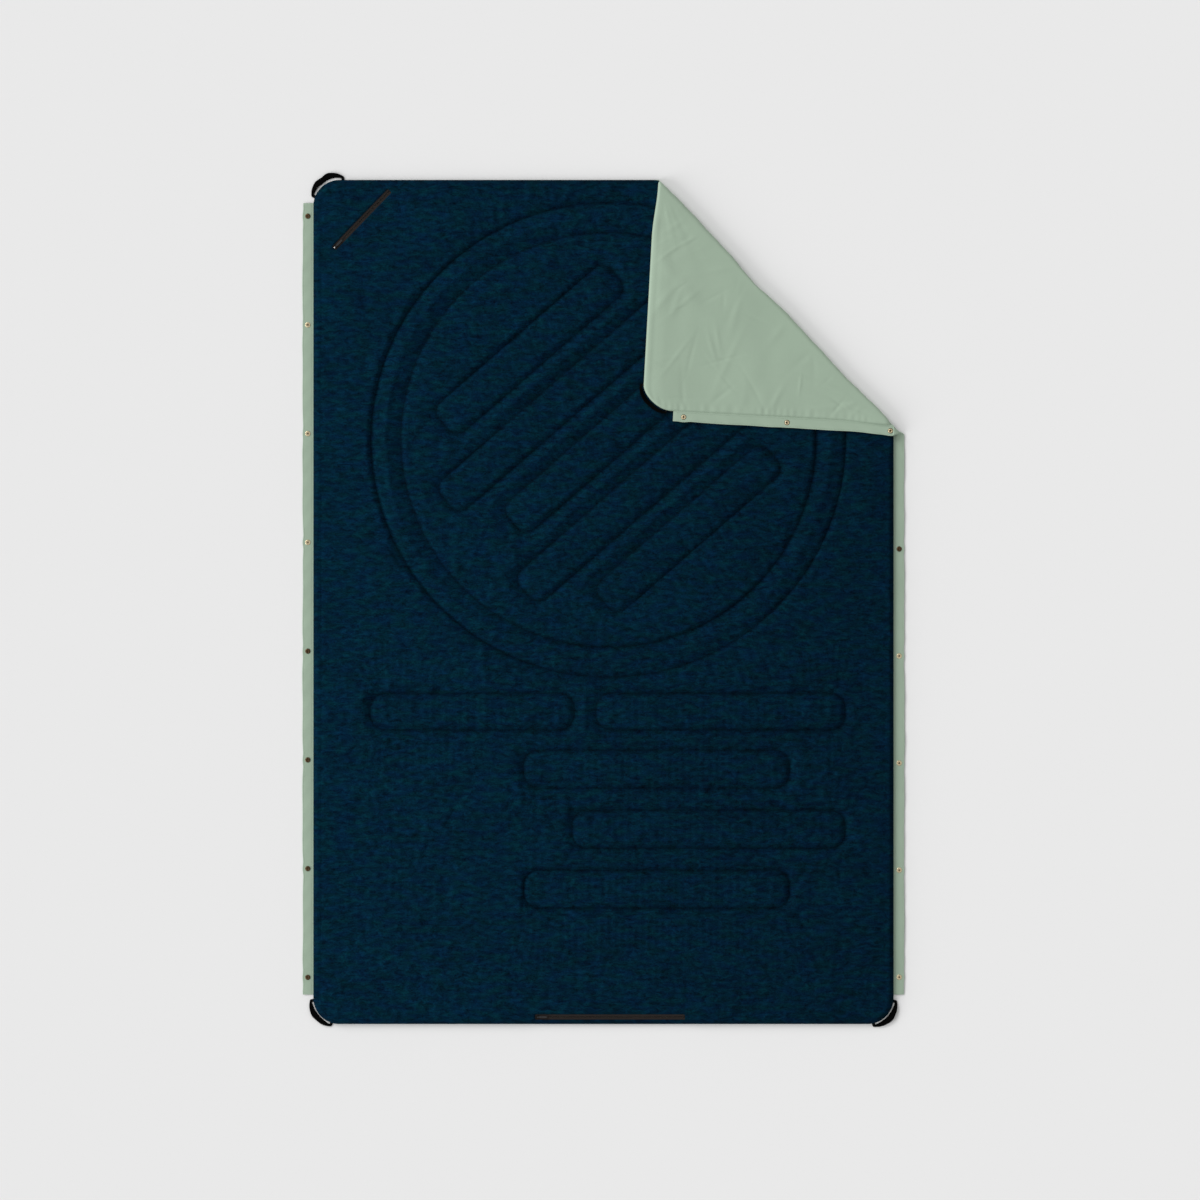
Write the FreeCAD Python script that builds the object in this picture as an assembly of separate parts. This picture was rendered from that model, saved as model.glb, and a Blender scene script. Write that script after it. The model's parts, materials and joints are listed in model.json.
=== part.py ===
"""Quilted camp blanket, lying flat with its top right corner folded over.

Millimetres, +Z up. The origin is the centre of the blanket's outline, on the floor. +Y runs towards the end
with the stash pocket, and the brushed face is up. The quilt is a brushed top shell, a fibre filling and a
water-repellent back shell. Both long sides carry a sewn-on placket with ring snaps, the four corners have
webbing loops, and two zips open a stash pocket and a pillow pouch in the top shell.
"""

import FreeCAD
import Part

import math
import os

V = FreeCAD.Vector
UP = V(0, 0, 1)

# ---- driving dimensions ----
PANEL_WIDTH = 1375.0
PANEL_LENGTH = 2000.0
PANEL_LOFT = 12.0  # one quilted layer, uncompressed
CORNER_RADIUS = 62.0
BRUSHED_CLOTH = 2.5  # top shell with its pile
BACK_CLOTH = 0.8
RIM_HEIGHT = 2.0  # the sewn edge, where both shells meet
RIM_RUN = 6.0  # how far in from the edge the loft is reached

FOLD_TOP_X = 130.0  # where the fold crosses the top edge
FOLD_SIDE_Y = 412.0  # where the fold crosses the right side
LAYER_GAP = 0.4  # air between the panel and the corner that lies on it
FOLD_CLEARANCE = 0.4
FOLD_END_INSET = 16.0  # the roll stops short of the thin rims

PLACKET_WIDTH = 24.3
PLACKET_REACH = 713.0  # half the overall width
LEFT_PLACKET_TOP_Y = 945.0
RIGHT_PLACKET_SPLIT_Y = 398.0  # the right placket ends here, and the folded corner has its own
CORNER_PLACKET_START_Y = 413.5
CORNER_PLACKET_TOP_Y = 935.0
PLACKET_BOTTOM_Y = -930.0
PLACKET_LOW = 1.0
PLACKET_THICKNESS = 1.6
PLACKET_CLOTH = 0.5
SEAM_OFFSET = 1.2  # the placket's pivot stands this far out of the rim
CORNER_PLACKET_LOW = 3.2  # room for the snaps under the folded corner's placket

LEFT_SNAPS = (914.0, 257.6, "SPPPSSSS")  # first snap's Y, pitch, and S for socket or P for post (stud)
RIGHT_SNAPS = (125.6, 253.6, "SPPPP")
CORNER_SNAPS = (910.0, 245.0, "PSS")
SNAP_RADIUS = 6.25
SNAP_INSET = 13.0  # snap centre from the panel's side
SOCKET_HEIGHT = 2.0
SOCKET_BORE = 3.0
SOCKET_DEPTH = 1.6
STUD_BASE = 0.8
STUD_RADIUS = 2.75
STUD_HEIGHT = 1.9
SHANK_RADIUS = 2.3
SHANK_HOLE = 2.5
PRONG_RING = 0.8
PRONG_RADIUS = 5.6

WEBBING = 1.5
WEBBING_LOW = 0.9
LOOP_END_WIDTH = 7.0
TAB_OUT = 5.0
TAB_IN = 8.0

ZIP_OPENING = 12.5  # width of the slot in the top shell
TAPE_WIDTH = 8.4
TAPE = 0.6
TAPE_OVERRUN = 8.0
CHAIN_GAP = 1.2  # between the two rows, where the slider's post runs
COIL_WIDTH = 2.2
COIL = 1.2
SLIDER_LENGTH = 10.0
SLIDER_WIDTH = 7.6
SLIDER_PLATE = 1.1
SLIDER_AIR = 0.2
PULL_LENGTH = 22.0
PULL_WIDTH = 4.6
PULL = 1.1
PULL_AIR = 0.2  # the pull lies this far above the brushed cloth
STOP_LENGTH = 1.6

STASH_ZIP_LENGTH = 191.0
STASH_ZIP_CENTRE = V(-572.4, 905.3, 0)
STASH_ZIP_ANGLE = 46.0
STASH_BAG_DEPTH = 130.0
HEM_ZIP_LENGTH = 355.0
HEM_ZIP_CENTRE = V(15.4, -982.4, 0)
HEM_BAG_DEPTH = 300.0
BAG = 1.2
BAG_PLY = 0.4
FILLING_AIR = 0.2

# ---- worked out from them ----
HALF_WIDTH = PANEL_WIDTH / 2
HALF_LENGTH = PANEL_LENGTH / 2
FOLD_START = V(FOLD_TOP_X, HALF_LENGTH, 0)
FOLD_END = V(HALF_WIDTH, FOLD_SIDE_Y, 0)
FOLD_LENGTH = FOLD_START.distanceToPoint(FOLD_END)
FOLD_DIRECTION = (FOLD_END - FOLD_START).normalize()
FOLD_OUT = V(-FOLD_DIRECTION.y, FOLD_DIRECTION.x, 0)  # away from the panel, towards the missing corner
FOLD_HEIGHT = PANEL_LOFT + LAYER_GAP / 2
FOLD_TAKEUP = math.pi * FOLD_HEIGHT / 4  # half of the quilt that goes round the roll
TAPE_TOP = PANEL_LOFT - BRUSHED_CLOTH
TAPE_LOW = TAPE_TOP - TAPE
COIL_LOW = TAPE_LOW - COIL
FAR = 4000.0


# ---- helpers ----
def box(x0, x1, y0, y1, z0, z1):
    return Part.makeBox(x1 - x0, y1 - y0, z1 - z0, V(x0, y0, z0))


def cylinder(radius, x, y, z0, z1):
    return Part.makeCylinder(radius, z1 - z0, V(x, y, z0))


def rounded_outline(inset, z):
    """The panel's outline, a rectangle with round corners, brought in by inset, at height z."""
    w, h, r = HALF_WIDTH - inset, HALF_LENGTH - inset, CORNER_RADIUS - inset
    short = r * (1 - math.sqrt(0.5))
    corners = []
    for sx, sy in ((1, 1), (-1, 1), (-1, -1), (1, -1)):
        on_side, on_end = V(sx * w, sy * (h - r), z), V(sx * (w - r), sy * h, z)
        middle = V(sx * (w - short), sy * (h - short), z)
        corners.append((on_side, middle, on_end) if sx == sy else (on_end, middle, on_side))
    edges = []
    for corner, following in zip(corners, corners[1:] + corners[:1]):
        edges.append(Part.Arc(*corner).toShape())
        edges.append(Part.LineSegment(corner[2], following[0]).toShape())
    return Part.Wire(edges)


def tapered_block(inset, low, top_inset, high):
    return Part.makeLoft([rounded_outline(inset, low), rounded_outline(top_inset, high)], True, True)


def beyond_fold(offset):
    """Everything on the missing corner's side of the fold line, starting offset past it."""
    block = box(-FAR, FAR, 0, FAR, -FAR, FAR)
    angle = math.degrees(math.atan2(FOLD_DIRECTION.y, FOLD_DIRECTION.x))
    block.rotate(V(0, 0, 0), UP, angle)
    block.translate(FOLD_START + FOLD_OUT * offset)
    return block


def fold_over(shape):
    """Turns a shape from where it lies on the open blanket to where it lies with the corner folded over."""
    turned = shape.copy()
    turned.rotate(FOLD_START + V(0, 0, FOLD_HEIGHT), FOLD_DIRECTION, 180)
    return turned


def flip(shape):
    """Turns a shape upside down within the panel's loft, in place."""
    return shape.mirror(V(0, 0, PANEL_LOFT / 2), UP)


def save(name, *shapes):
    solids = [s for shape in shapes for s in shape.Solids]
    whole = solids[0] if len(solids) == 1 else Part.makeCompound(solids)
    whole.exportStep(f"parts/{name}.step")


# ---- quilted panel ----
def quilt(floor, lid):
    """(floor sheet, filling, lid) of the whole open blanket. The lid tapers to the rim."""
    outside = Part.Face(rounded_outline(0, 0)).extrude(V(0, 0, RIM_HEIGHT))
    outside = outside.fuse(tapered_block(0, RIM_HEIGHT, RIM_RUN, PANEL_LOFT)).removeSplitter()
    above_floor = box(-FAR, FAR, -FAR, FAR, floor, FAR)
    wall, shoulder, air = lid * 1.6, RIM_RUN + lid * 1.2, FILLING_AIR
    hollow = tapered_block(wall, floor, shoulder, PANEL_LOFT - lid)
    filling = tapered_block(wall + 2 * air, floor, shoulder + air, PANEL_LOFT - lid - air)
    return outside.cut(above_floor), filling, outside.common(above_floor).cut(hollow)


def fold_roll(inner, outer):
    """One layer of the roll that joins the panel to the corner folded over it."""
    start = FOLD_START + FOLD_DIRECTION * FOLD_END_INSET - FOLD_OUT * FOLD_TAKEUP + V(0, 0, FOLD_HEIGHT)
    length = FOLD_LENGTH - 2 * FOLD_END_INSET
    ring = Part.makeCylinder(outer, length, start, FOLD_DIRECTION)
    ring = ring.cut(Part.makeCylinder(inner, length, start, FOLD_DIRECTION))
    return ring.common(beyond_fold(-FOLD_TAKEUP))


# ---- plackets ----
def placket(side, top, bottom, low):
    """(cover, interlining) of a placket: a folded strip of back cloth round a stiff tape."""
    inner, outer = HALF_WIDTH + SEAM_OFFSET, PLACKET_REACH
    high = low + PLACKET_THICKNESS
    cover = box(inner, outer, bottom, top, low, high)
    tape = box(inner + 2, outer - 1, bottom + 1, top - 1, low + PLACKET_CLOTH, high - PLACKET_CLOTH)
    cover = cover.cut(tape)
    if side < 0:
        cover, tape = (s.mirror(V(0, 0, 0), V(1, 0, 0)) for s in (cover, tape))
    return cover, tape


def snap_x(side):
    return side * (HALF_WIDTH + SNAP_INSET)


def socket(x, y, low):
    high = low + PLACKET_THICKNESS
    body = cylinder(SNAP_RADIUS, x, y, high, high + SOCKET_HEIGHT)
    body = body.cut(cylinder(SOCKET_BORE, x, y, high + SOCKET_HEIGHT - SOCKET_DEPTH, high + SOCKET_HEIGHT))
    return body.fuse(cylinder(SHANK_RADIUS, x, y, low - PRONG_RING, high)).removeSplitter()


def stud(x, y, low):
    high = low + PLACKET_THICKNESS
    body = cylinder(SNAP_RADIUS, x, y, high, high + STUD_BASE)
    body = body.fuse(cylinder(STUD_RADIUS, x, y, high + STUD_BASE, high + STUD_BASE + STUD_HEIGHT))
    return body.fuse(cylinder(SHANK_RADIUS, x, y, low - PRONG_RING, high)).removeSplitter()


def prong_ring(x, y, low):
    ring = cylinder(PRONG_RADIUS, x, y, low - PRONG_RING, low)
    return ring.cut(cylinder(SHANK_HOLE, x, y, low - PRONG_RING, low))


def save_placket(name, side, top, bottom, low, snaps, place):
    """Saves a placket and its snaps; place puts each shape where it lies."""
    cover, tape = placket(side, top, bottom, low)
    first, pitch, kinds = snaps
    spots = [(snap_x(side), first - pitch * n, kind) for n, kind in enumerate(kinds)]
    holes = [cylinder(SHANK_HOLE, x, y, low, low + PLACKET_THICKNESS) for x, y, _ in spots]
    save(f"{name}_placket_cover", place(cover.cut(holes)))
    save(f"{name}_placket_interlining", place(tape.cut(holes)))
    save(f"{name}_snap_sockets", *[place(socket(x, y, low)) for x, y, kind in spots if kind == "S"])
    save(f"{name}_snap_studs", *[place(stud(x, y, low)) for x, y, kind in spots if kind == "P"])
    save(f"{name}_snap_prong_rings", *[place(prong_ring(x, y, low)) for x, y, _ in spots])


# ---- corner loops ----
def outline_point(sx, sy, from_corner, along_side):
    """(point on the outline, outward normal), from_corner from the square corner along a side or an end."""
    across = max(CORNER_RADIUS - from_corner, 0) / CORNER_RADIUS
    other = math.sqrt(1 - across**2)
    straight = max(from_corner - CORNER_RADIUS, 0)
    normal = V(other, across, 0) if along_side else V(across, other, 0)
    point = V(HALF_WIDTH - CORNER_RADIUS, HALF_LENGTH - CORNER_RADIUS, 0) + normal * CORNER_RADIUS
    point = point - (V(0, straight, 0) if along_side else V(straight, 0, 0))
    return V(sx * point.x, sy * point.y, 0), V(sx * normal.x, sy * normal.y, 0)


def corner_loop(sx, sy, on_end, on_side, gap, width):
    """(loop, tabs, pivot, axis) of one corner's webbing: the loop is free, and the tabs are sewn in the seam.

    on_end and on_side are how far from the square corner the webbing enters the end's and the side's seam.
    gap is the finger gap between the webbing, width wide, and the rounded corner.
    """
    points = [outline_point(sx, sy, on_end, False), outline_point(sx, sy, on_side, True)]
    tips = [point + normal * TAB_OUT for point, normal in points]
    axis = (tips[1] - tips[0]).normalize()
    out = V(axis.y, -axis.x, 0)
    if out.dot(V(sx, sy, 0)) < 0:
        out = out * -1
    rounded = V(sx, sy, 0).normalize() * CORNER_RADIUS
    crown = V(sx * (HALF_WIDTH - CORNER_RADIUS), sy * (HALF_LENGTH - CORNER_RADIUS), 0) + rounded
    inner = crown + V(sx, sy, 0).normalize() * gap
    outer = inner + V(sx, sy, 0).normalize() * width
    lift = out * (WEBBING / 2 + 0.3)
    half = axis * (LOOP_END_WIDTH / 2)
    level = V(0, 0, WEBBING_LOW)
    a, b = tips[0] - half + lift + level, tips[1] + half + lift + level
    c, d = tips[1] - half + lift + level, tips[0] + half + lift + level
    edges = [
        Part.Arc(a, outer + level, b).toShape(),
        Part.LineSegment(b, c).toShape(),
        Part.Arc(c, inner + level, d).toShape(),
        Part.LineSegment(d, a).toShape(),
    ]
    loop = Part.Face(Part.Wire(edges)).extrude(V(0, 0, WEBBING))
    past_axis = box(-FAR, FAR, -0.3, FAR, -FAR, FAR)
    past_axis.rotate(V(0, 0, 0), UP, math.degrees(math.atan2(out.y, out.x)) - 90)
    past_axis.translate(tips[0])
    tabs = []
    for point, normal in points:
        half_wide = LOOP_END_WIDTH / 2
        tab = box(-TAB_IN, TAB_OUT + LOOP_END_WIDTH, -half_wide, half_wide, 0, WEBBING)
        tab.rotate(V(0, 0, 0), UP, math.degrees(math.atan2(normal.y, normal.x)))
        tab.translate(point + level)
        tabs.append(tab.cut(past_axis))
    return loop, tabs, tips[0] + V(0, 0, WEBBING_LOW + WEBBING / 2), axis


# ---- zips ----
def zip_parts(length, bag_depth):
    """A closed zip along X, centred on the origin, its slider at the -X end and its pocket towards +Y."""
    half = length / 2
    inner = CHAIN_GAP / 2
    upper = box(-half - TAPE_OVERRUN, half + TAPE_OVERRUN, inner, TAPE_WIDTH, TAPE_LOW, TAPE_TOP)
    coil = box(-half, half, inner, inner + COIL_WIDTH, COIL_LOW, TAPE_LOW)
    lower_edges = [e for e in coil.Edges if e.Length > 50 and e.BoundBox.ZMax < COIL_LOW + 0.01]
    coil = coil.makeFillet(COIL / 3, lower_edges)
    stops = [
        box(x, x + STOP_LENGTH, -COIL_WIDTH, COIL_WIDTH, TAPE_TOP, TAPE_TOP + 0.9)
        for x in (-half, half - STOP_LENGTH)
    ]
    across = V(0, 1, 0)
    plate_low = COIL_LOW - SLIDER_AIR - SLIDER_PLATE
    plate_high = TAPE_TOP + SLIDER_AIR
    x0 = -half + STOP_LENGTH + 0.4
    x1 = x0 + SLIDER_LENGTH
    wide = SLIDER_WIDTH / 2
    slider = box(x0, x1, -wide, wide, plate_low, plate_low + SLIDER_PLATE)
    slider = slider.fuse(box(x0, x1, -wide, wide, plate_high, plate_high + SLIDER_PLATE))
    corners = [e for e in slider.Edges if e.BoundBox.ZLength > SLIDER_PLATE * 0.9]
    slider = slider.makeFillet(2.4, corners)
    post = box(x0 + 0.8, x0 + 3.4, -inner + 0.15, inner - 0.15, plate_low + 0.5, plate_high + 0.5)
    bridge_x, bridge_z = x0 + 4.2, plate_high + SLIDER_PLATE
    pin_z = PANEL_LOFT + PULL_AIR + PULL / 2
    ears = [
        box(bridge_x - 1.3, bridge_x + 1.3, y, y + 0.8, bridge_z - 0.3, pin_z + 0.9) for y in (-2.2, 1.4)
    ]
    pin = Part.makeCylinder(0.45, 4.4, V(bridge_x, -2.2, pin_z), across)
    slider = slider.fuse([post, *ears, pin]).removeSplitter()
    eye = Part.makeCylinder(0.85, 2.4, V(bridge_x, -1.2, pin_z), across)
    pull_low, pull_high, half_pull = pin_z - PULL / 2, pin_z + PULL / 2, PULL_WIDTH / 2
    neck = box(bridge_x, bridge_x + 4.5, -1.2, 1.2, pull_low, pull_high)
    grip = box(bridge_x + 3.5, bridge_x + PULL_LENGTH, -half_pull, half_pull, pull_low, pull_high)
    grip = grip.makeFillet(1.8, [e for e in grip.Edges if e.BoundBox.ZLength > PULL * 0.9])
    pull = eye.fuse([neck, grip]).cut(Part.makeCylinder(0.5, 3, V(bridge_x, -1.5, pin_z), across))
    bag_low, bag_high, ply = COIL_LOW, COIL_LOW + BAG, BAG_PLY
    bag = box(-half, half, COIL_WIDTH + 4.2, bag_depth, bag_low, bag_high)
    bag = bag.cut(box(-half + ply, half - ply, 0, bag_depth - ply, bag_low + ply, bag_high - ply))
    room_x, room_y = half + TAPE_OVERRUN + 0.2, TAPE_WIDTH + 0.2
    room = box(-room_x, room_x, -room_y, room_y, TAPE_LOW - 0.2, FAR)
    channel = box(-half - 2, half + 2, -wide - 0.6, wide + 0.6, plate_low - 0.3, FAR)
    bag_room = box(-half - 0.2, half + 0.2, 0, bag_depth + 0.2, bag_low - 0.2, bag_high + 0.1)
    return {
        "tapes": [upper.mirror(V(0, 0, 0), across), upper],
        "coils": [coil.mirror(V(0, 0, 0), across), coil],
        "stops": stops,
        "slider": slider,
        "pull": pull,
        "bag": bag,
        "room": room.fuse([channel, bag_room]),
        "slot": box(-half, half, -ZIP_OPENING / 2, ZIP_OPENING / 2, TAPE_TOP - 0.01, FAR),
        "pin": V(bridge_x, 0, pin_z),
        "travel": length - SLIDER_LENGTH - 2 * STOP_LENGTH - 0.8,
    }


def placed(shape, centre, angle):
    moved = shape.copy()
    moved.rotate(V(0, 0, 0), UP, angle)
    moved.translate(centre)
    return moved


ZIPS = {
    "stash": (zip_parts(STASH_ZIP_LENGTH, STASH_BAG_DEPTH), STASH_ZIP_CENTRE, STASH_ZIP_ANGLE, -1),
    "hem": (zip_parts(HEM_ZIP_LENGTH, HEM_BAG_DEPTH), HEM_ZIP_CENTRE, 0.0, 1),
}


def zip_shape(name, key):
    """A zip's shapes where they lie. The stash pocket's bag is on the other side of its zip."""
    parts, centre, angle, bag_side = ZIPS[name]
    shapes = parts[key] if isinstance(parts[key], list) else [parts[key]]
    if bag_side < 0 and key in ("bag", "room"):
        shapes = [s.mirror(V(0, 0, 0), V(0, 1, 0)) for s in shapes]
    return [placed(s, centre, angle) for s in shapes]


# ---- assembly ----
def main():
    os.makedirs("parts", exist_ok=True)
    missing_corner = beyond_fold(-FOLD_TAKEUP - FOLD_CLEARANCE)
    past_gap = beyond_fold(FOLD_TAKEUP + FOLD_CLEARANCE)

    loops = {
        "top_left": corner_loop(-1, 1, 70.0, 40.0, 7.0, 16.5),
        "bottom_left": corner_loop(-1, -1, 43.0, 56.0, 7.0, 13.0),
        "bottom_right": corner_loop(1, -1, 48.0, 54.0, 7.0, 14.0),
    }
    tabs = [tab for loop in loops.values() for tab in loop[1]]

    back, filling, top = quilt(BACK_CLOTH, BRUSHED_CLOTH)
    zip_rooms = [s for name in ZIPS for s in zip_shape(name, "room")]
    zip_slots = [s for name in ZIPS for s in zip_shape(name, "slot")]
    save("back_shell", back.cut(missing_corner))
    save("insulation", filling.cut([missing_corner, *zip_rooms, *tabs]))
    save("top_shell", top.cut([missing_corner, *zip_slots, *tabs]))
    save("fold_top_shell", fold_roll(LAYER_GAP / 2, BRUSHED_CLOTH + LAYER_GAP / 2))
    save("fold_insulation", fold_roll(BRUSHED_CLOTH + LAYER_GAP / 2, FOLD_HEIGHT - BACK_CLOTH))
    save("fold_back_shell", fold_roll(FOLD_HEIGHT - BACK_CLOTH, FOLD_HEIGHT))
    save("loop_tabs", *tabs)
    for name, (loop, _, pivot, axis) in loops.items():
        save(f"{name}_loop", loop)
        print(f"{name}_loop pivot", [round(x, 3) for x in pivot], "axis", [round(x, 6) for x in axis])

    # The folded corner lies brushed face down, so its lid is the back cloth.
    brushed, corner_filling, backed = map(flip, quilt(BRUSHED_CLOTH, BACK_CLOTH))
    loop, corner_tabs, pivot, axis = corner_loop(1, 1, 60.0, 48.0, 7.0, 9.0)
    loop, *corner_tabs = map(flip, [loop, *corner_tabs])
    save("corner_top_shell", fold_over(brushed.common(past_gap).cut(corner_tabs)))
    save("corner_insulation", fold_over(corner_filling.common(past_gap).cut(corner_tabs)))
    save("corner_back_shell", fold_over(backed.common(past_gap).cut(corner_tabs)))
    save("corner_loop_tabs", *map(fold_over, corner_tabs))
    save("top_right_loop", fold_over(loop))
    turn = FreeCAD.Rotation(FOLD_DIRECTION, 180)
    hinge = V(FOLD_START.x, FOLD_START.y, FOLD_HEIGHT)
    pivot = V(pivot.x, pivot.y, PANEL_LOFT - pivot.z)
    pivot = hinge + turn.multVec(pivot - hinge)
    axis = turn.multVec(axis)
    print("top_right_loop pivot", [round(x, 3) for x in pivot], "axis", [round(x, 6) for x in axis])

    def on_corner(shape):
        """The corner's placket is built brushed side up, then turned with the corner."""
        raised = shape.copy()
        raised.translate(V(0, 0, PANEL_LOFT - 2 * CORNER_PLACKET_LOW - PLACKET_THICKNESS))
        return fold_over(raised)

    as_built = Part.Shape.copy
    left_ends = LEFT_PLACKET_TOP_Y, PLACKET_BOTTOM_Y
    right_ends = RIGHT_PLACKET_SPLIT_Y, PLACKET_BOTTOM_Y
    corner_ends = CORNER_PLACKET_TOP_Y, CORNER_PLACKET_START_Y
    save_placket("left", -1, *left_ends, PLACKET_LOW, LEFT_SNAPS, as_built)
    save_placket("right", 1, *right_ends, PLACKET_LOW, RIGHT_SNAPS, as_built)
    save_placket("corner", 1, *corner_ends, CORNER_PLACKET_LOW, CORNER_SNAPS, on_corner)

    for name, sides in {"stash": ("inner", "outer"), "hem": ("lower", "upper")}.items():
        for key, node in (("tapes", "tape"), ("coils", "coil")):
            for side, shape in zip(sides, zip_shape(name, key)):
                save(f"{name}_zip_{node}_{side}", shape)
        save(f"{name}_zip_end_stops", *zip_shape(name, "stops"))
        save(f"{name}_zip_slider", *zip_shape(name, "slider"))
        save(f"{name}_zip_pull", *zip_shape(name, "pull"))
        save(f"{name}_pocket_bag", *zip_shape(name, "bag"))
        parts, centre, angle, _ = ZIPS[name]
        turn = FreeCAD.Rotation(UP, angle)
        pin = turn.multVec(parts["pin"]) + centre
        print(f"{name} pull pin", [round(x, 3) for x in pin], "travel", round(parts["travel"], 2))


main()
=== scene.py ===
"""Visual model of the quilted camp blanket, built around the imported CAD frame. Metres, +Z up."""

import json
import math

import bpy
import numpy as np
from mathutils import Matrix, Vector
from mathutils.geometry import delaunay_2d_cdt
from mathutils.kdtree import KDTree


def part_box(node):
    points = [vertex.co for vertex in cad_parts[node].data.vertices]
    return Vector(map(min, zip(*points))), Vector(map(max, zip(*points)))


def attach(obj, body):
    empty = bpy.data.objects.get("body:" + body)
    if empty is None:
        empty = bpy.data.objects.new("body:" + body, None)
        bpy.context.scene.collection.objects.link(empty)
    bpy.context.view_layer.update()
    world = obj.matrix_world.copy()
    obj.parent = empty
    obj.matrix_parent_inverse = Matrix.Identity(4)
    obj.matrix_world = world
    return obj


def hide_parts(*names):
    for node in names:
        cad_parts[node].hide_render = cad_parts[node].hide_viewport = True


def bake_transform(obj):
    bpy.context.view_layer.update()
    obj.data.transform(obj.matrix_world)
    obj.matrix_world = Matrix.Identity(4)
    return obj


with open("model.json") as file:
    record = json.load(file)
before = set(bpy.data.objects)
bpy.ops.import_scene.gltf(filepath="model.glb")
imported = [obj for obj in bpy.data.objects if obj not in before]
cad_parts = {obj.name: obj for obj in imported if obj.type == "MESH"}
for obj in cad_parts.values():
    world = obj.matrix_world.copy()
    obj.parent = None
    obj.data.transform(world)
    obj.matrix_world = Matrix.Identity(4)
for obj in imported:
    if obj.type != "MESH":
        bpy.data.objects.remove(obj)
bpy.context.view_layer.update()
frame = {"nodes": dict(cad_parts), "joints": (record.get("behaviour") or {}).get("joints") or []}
stack = np.column_stack

# ---- sizes, in metres ----
HALF_WIDTH, HALF_LENGTH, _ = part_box("back_shell")[1]
CORNER_RADIUS = 0.062
LOFT = 0.012
FOLD = next(j for j in frame["joints"] if j["name"] == "corner_fold")
FOLD_HEIGHT = FOLD["pos_m"][2]
OUT = np.array([FOLD["axis"][1], -FOLD["axis"][0]])  # across the fold, towards the missing corner
OUT /= np.linalg.norm(OUT)
FOLD_AT = float(OUT @ FOLD["pos_m"][:2])
CUT = 0.00998  # each leaf of the fold ends this far from the hinge line
STEP = 0.006  # spacing of points along seams and edges
FILL_STEP = 0.0064
RIM = 0.0010  # height of the panel's sewn rim
CORNER_RIM = 0.0098  # the same rim on the corner that folds over, with the corner open
PRESSED = 0.0117  # the quilt under the folded corner isn't higher than this
FOLD_LINE_TOP = 0.0119
EDGE_RUN = 0.013  # the quilt is full height this far from its sewn edge
SEAM_DEPTH = 0.0090
SEAM_REACH = 0.0155
SETTLE = (-0.0085, 0.0120)  # how the turned corner's free edges have crept on the quilt below

RING_CENTRE = np.array([0.0107, 0.384])
RING_RADII = (0.562, 0.491)
SLOPE = math.radians(41)
CHANNEL_PITCH = 0.142
CHANNELS = {-2: (-0.26, 0.27), -1: (-0.385, 0.30), 0: (-0.30, 0.415), 1: (-0.385, 0.385), 2: (-0.27, 0.27)}
BARS = [
    (-0.553, -0.070, -0.303, -0.216),
    (-0.018, 0.572, -0.303, -0.216),
    (-0.190, 0.440, -0.441, -0.351),
    (-0.075, 0.572, -0.583, -0.493),
    (-0.190, 0.440, -0.725, -0.635),
]

ZIPS = {  # centre, angle, length, side of the bag
    "stash": ((-0.5724, 0.9053), math.radians(46), 0.191, -1),
    "hem": ((0.0154, -0.9824), 0.0, 0.355, 1),
}
SLOT_HALF = 0.00625
TAPE_LOW, TAPE_TOP = 0.0089, 0.0095


# ---- plane geometry ----
def rotated(points, angle, centre=(0, 0)):
    c, s = math.cos(angle), math.sin(angle)
    x, y = points[:, 0], points[:, 1]
    return stack([x * c - y * s + centre[0], x * s + y * c + centre[1]])


def distances(line):
    """How far along a polyline each of its points is."""
    return np.r_[0, np.cumsum(np.linalg.norm(np.diff(line, axis=0), axis=1))]


def picked(line, along, t):
    return stack([np.interp(t, along, line[:, k]) for k in range(line.shape[1])])


def even(line, count):
    """count points evenly along a polyline."""
    along = distances(line)
    return picked(line, along, np.linspace(0, along[-1], count))


def resampled(points, step, closed):
    p = np.vstack([points, points[:1]]) if closed else np.asarray(points, float)
    along = distances(p)
    new = np.r_[True, np.diff(along) > 1e-9]
    p, along = p[new], along[new]
    t = np.linspace(0, along[-1], max(2, round(along[-1] / step)) + 1)
    return picked(p, along, t[:-1] if closed else t)


def rounded_box(half_x, half_y, radius, centre=(0, 0), angle=0.0, turns=12):
    points, x, y = [], half_x - radius, half_y - radius
    for k, (sx, sy) in enumerate([(1, 1), (-1, 1), (-1, -1), (1, -1)]):
        for i in range(turns + 1):
            a = math.pi / 2 * (k + i / turns)
            points.append((sx * x + radius * math.cos(a), sy * y + radius * math.sin(a)))
    return rotated(np.array(points), angle, centre)


def box_distance(p, half_x, half_y, radius):
    """Signed distance from a rounded box centred on the origin, negative inside."""
    q = np.abs(p) - np.array([half_x - radius, half_y - radius])
    return np.linalg.norm(np.maximum(q, 0), axis=1) + np.minimum(q.max(1), 0) - radius


def inside_edge(p):
    """How far inside the open blanket's outline each point is."""
    return -box_distance(p[:, :2], HALF_WIDTH, HALF_LENGTH, CORNER_RADIUS)


def past_fold(p):
    return p[:, :2] @ OUT - FOLD_AT


def mirrored(p):
    """Plan positions turned over the hinge line."""
    return p[:, :2] - 2 * past_fold(p)[:, None] * OUT


def turned_over(p):
    """Points of the open corner turned over, its free edges crept a little on the quilt."""
    from_end, from_side = HALF_LENGTH - p[:, 1], HALF_WIDTH - p[:, 0]
    free = smooth(past_fold(p), CUT, 0.100)
    near_side = 0.45 * (1 - smooth(from_side, 0.0, 0.14))
    x = SETTLE[0] * free * (1 - smooth(from_end, 0, 0.25)) * smooth(from_side, 0.0, 0.06)
    y = SETTLE[1] * (free + (1 - free) * near_side) * (1 - smooth(from_side, -0.03, 0.35))
    return stack([mirrored(p) + stack([x, y]), 2 * FOLD_HEIGHT - p[:, 2]])


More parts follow.
